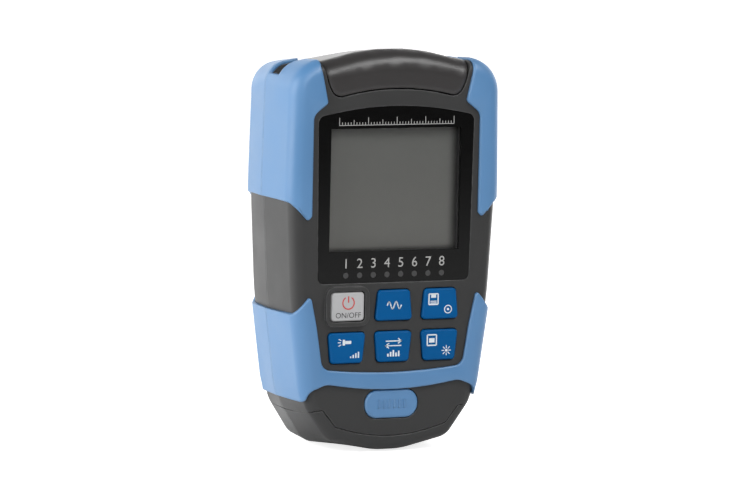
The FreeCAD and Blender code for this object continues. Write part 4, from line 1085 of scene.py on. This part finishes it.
def makeThread(portName, name, nose):
    # one raised turn, copied up the nose of a port
    plan = threadPlan
    boxLow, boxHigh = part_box(portName)
    middle = (boxLow + boxHigh) / 2
    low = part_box("port_deck")[1].z + nose["foot"]
    high = boxHigh.z - nose["nose"]
    radius = nose["radius"] + plan["height"]
    clearSelection()
    bpy.ops.mesh.primitive_cylinder_add(
        vertices=plan["sides"], radius=radius, depth=plan["width"]
    )
    turn = settle(bpy.context.object, "threadTurn")
    hollowOut(turn, plan["wall"])

    def outerRim(edge):
        ends = edgeEnds(turn, edge)
        outer = all(math.hypot(end.x, end.y) > radius - plan["wall"] / 2 for end in ends)
        return outer and abs(ends[0].z - ends[1].z) < hair

    editOnly(turn, "EDGE", outerRim)
    bpy.ops.mesh.bevel(offset=plan["bevel"], segments=1)
    facesOut()
    leaveEdit()
    turns = []
    for index in range(int((high - low) / plan["pitch"])):
        pickOnly(turn)
        bpy.ops.object.duplicate(linked=False)
        copy = bpy.context.object
        copy.location = (middle.x, middle.y, low + plan["pitch"] * (index + 0.5))
        turns.append(settle(copy, "threadTurn"))
    bpy.data.objects.remove(turn)
    finishPiece(joinPieces(turns, name), "housing", finishes["portNickel"])


wrapPlan = {"film": 0.00008, "wall": 0.0003, "tall": 0.62, "middle": 0.36, "sides": 48}


def makeCellWraps():
    # a plain sleeve round each cell, its height and place as shares of the cell
    plan = wrapPlan
    low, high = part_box("battery_cells")
    radius = (high.y - low.y) / 2
    pitch = (high.x - low.x - 2 * radius) / 2
    tall = high.z - low.z
    wraps = []
    for index in (-1, 0, 1):
        clearSelection()
        bpy.ops.mesh.primitive_cylinder_add(
            vertices=plan["sides"], radius=radius + plan["film"], depth=tall * plan["tall"]
        )
        wrap = bpy.context.object
        wrap.location = (pitch * index, (low.y + high.y) / 2, low.z + tall * plan["middle"])
        settle(wrap, "cellWrap")
        hollowOut(wrap, plan["wall"])
        facesOut()
        leaveEdit()
        wraps.append(wrap)
    finishPiece(joinPieces(wraps, "cellWraps"), "housing", finishes["wrapRed"])


makeButtonRibs()
makeHingeSill()
makeThread("meter_port", "meterThread", threadPlan["meter"])
makeThread("locator_port", "locatorThread", threadPlan["locator"])
makeCellWraps()
print("small pieces made")

# floor, light and camera
stagePlan = {
    "floorSize": 6.0,
    "floorDrop": 0.0001,
    "floorGlow": 0.8,
    "floorTones": (0.02, 0.8),
    "floorRough": 0.9,
    "tableEdge": -0.85,
    "tableFade": 0.35,
    "shineFrom": 0.0,
    "shineFade": 0.04,
    "shine": 1.0,
}
skyPlan = {
    "front": 0.05,
    "back": 2.0,
    "turn": (-0.2, 0.6),
    "ceiling": 0.15,
    "ceilingRise": (0.3, 0.65),
}
# place, size and power of each lamp
lampPlan = {
    "leftBox": ((-1.1, -0.12, 0.42), (0.7, 0.7), 9.0),
    "topBox": ((0.42, -0.62, 0.9), (0.7, 0.3), 6.5),
    "frontBox": ((-0.3, -1.2, 0.8), (0.7, 0.7), 6.0),
}
cameraPlan = {
    "turn": 24.0,
    "rise": 6.725,
    "roll": 1.223,
    "aimX": -0.00812,
    "aimDepth": 0.0011,
    "aimLevel": 0.0701,
    "distance": 1.6383,
    "lens": 233.9,
    "sensor": 36.0,
    "clip": (0.01, 50.0),
}


def makeFloor():
    plan = stagePlan
    clearSelection()
    bpy.ops.mesh.primitive_grid_add(x_subdivisions=8, y_subdivisions=8, size=plan["floorSize"])
    floor = bpy.context.object
    floor.location = (0, 0, cadBox[0].z - plan["floorDrop"])
    settle(floor, "studioFloor")
    values = {"Roughness": plan["floorRough"], "Emission Color": (1, 1, 1, 1)}
    material, tree, shader = newFinish("floorWhite", values)
    path = addNode(tree, "LightPath", (-1000, 300)).outputs
    split = addNode(tree, "SeparateXYZ", (-800, 0), {0: objectSpot(tree, (-1000, 0))})
    back = split.outputs["Y"]
    # the table behind the object shines in its sides
    shineReach = (plan["shineFrom"], plan["shineFrom"] + plan["shineFade"])
    behind = addRange(tree, (-800, -300), back, shineReach, (0.0, plan["shine"]))
    shine = addMath(tree, "MULTIPLY", (-600, -300), behind, path["Is Glossy Ray"])
    seen = (path["Is Camera Ray"], plan["floorGlow"], shine)
    glow = addMath(tree, "MULTIPLY_ADD", (-400, -300), *seen)
    tableReach = (plan["tableEdge"], plan["tableEdge"] + plan["tableFade"])
    zone = addRange(tree, (-600, 0), back, tableReach)
    shown = addMath(tree, "MAXIMUM", (-400, 100), zone, path["Is Camera Ray"])
    tones = [(tone, tone, tone, 1) for tone in plan["floorTones"]]
    tone = addMix(tree, (-200, 100), shown, *tones)
    feed(tree, shader, {"Base Color": tone, "Emission Strength": glow})
    floor.data.materials.append(material)


def makeWorld():
    # a white backdrop behind the object and a dim room in front of it
    plan = skyPlan
    world = bpy.data.worlds.new("studio")
    bpy.context.scene.world = world
    world.use_nodes = True
    tree = world.node_tree
    way = addNode(tree, "TexCoord", (-1000, 0)).outputs["Generated"]
    split = addNode(tree, "SeparateXYZ", (-800, 0), {0: way})
    soft = {"interpolation_type": "SMOOTHSTEP"}
    levels = (plan["front"], plan["back"])
    room = addRange(tree, (-600, 0), split.outputs["Y"], plan["turn"], levels, **soft)
    dim = (1.0, plan["ceiling"])
    ceiling = addRange(
        tree, (-600, -300), split.outputs["Z"], plan["ceilingRise"], dim, **soft
    )
    screen = addMath(tree, "MULTIPLY", (-400, -100), room, ceiling)
    path = addNode(tree, "LightPath", (-600, 300)).outputs
    level = addRange(tree, (-200, 0), path["Is Camera Ray"], result=(0.0, 1.0))
    feed(tree, level.node, {"To Min": screen})
    feed(tree, tree.nodes["Background"], {"Color": (1, 1, 1, 1), "Strength": level})


def addLamp(name, place, size, power):
    clearSelection()
    bpy.ops.object.light_add(type="AREA", location=place)
    lamp = bpy.context.object
    lamp.name = name
    lamp.data.shape = "RECTANGLE"
    lamp.data.size, lamp.data.size_y = size
    lamp.data.energy = power
    aim = (cadBox[0] + cadBox[1]) / 2
    lamp.rotation_euler = (aim - Vector(place)).to_track_quat("-Z", "Y").to_euler()


def makeCamera():
    plan = cameraPlan
    turn, rise, roll = [math.radians(plan[key]) for key in ("turn", "rise", "roll")]
    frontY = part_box("front_shell")[0].y
    target = Vector((plan["aimX"], frontY + plan["aimDepth"], plan["aimLevel"]))
    level = math.cos(rise)
    back = Vector((-math.sin(turn) * level, -math.cos(turn) * level, math.sin(rise)))
    right = Vector((math.cos(turn), -math.sin(turn), 0))
    up = back.cross(right)
    across = right * math.cos(roll) + up * math.sin(roll)
    upright = up * math.cos(roll) - right * math.sin(roll)
    clearSelection()
    bpy.ops.object.camera_add()
    camera = bpy.context.object
    camera.name = "view"
    rows = Matrix((across, upright, back)).transposed().to_4x4()
    camera.matrix_world = Matrix.Translation(target + back * plan["distance"]) @ rows
    camera.data.sensor_width = plan["sensor"]
    camera.data.lens = plan["lens"]
    camera.data.clip_start, camera.data.clip_end = plan["clip"]
    bpy.context.scene.camera = camera


makeFloor()
makeWorld()
for name, (place, size, power) in lampPlan.items():
    addLamp(name, place, size, power)
makeCamera()
bpy.context.scene.view_settings.view_transform = "Standard"
print("stage set")
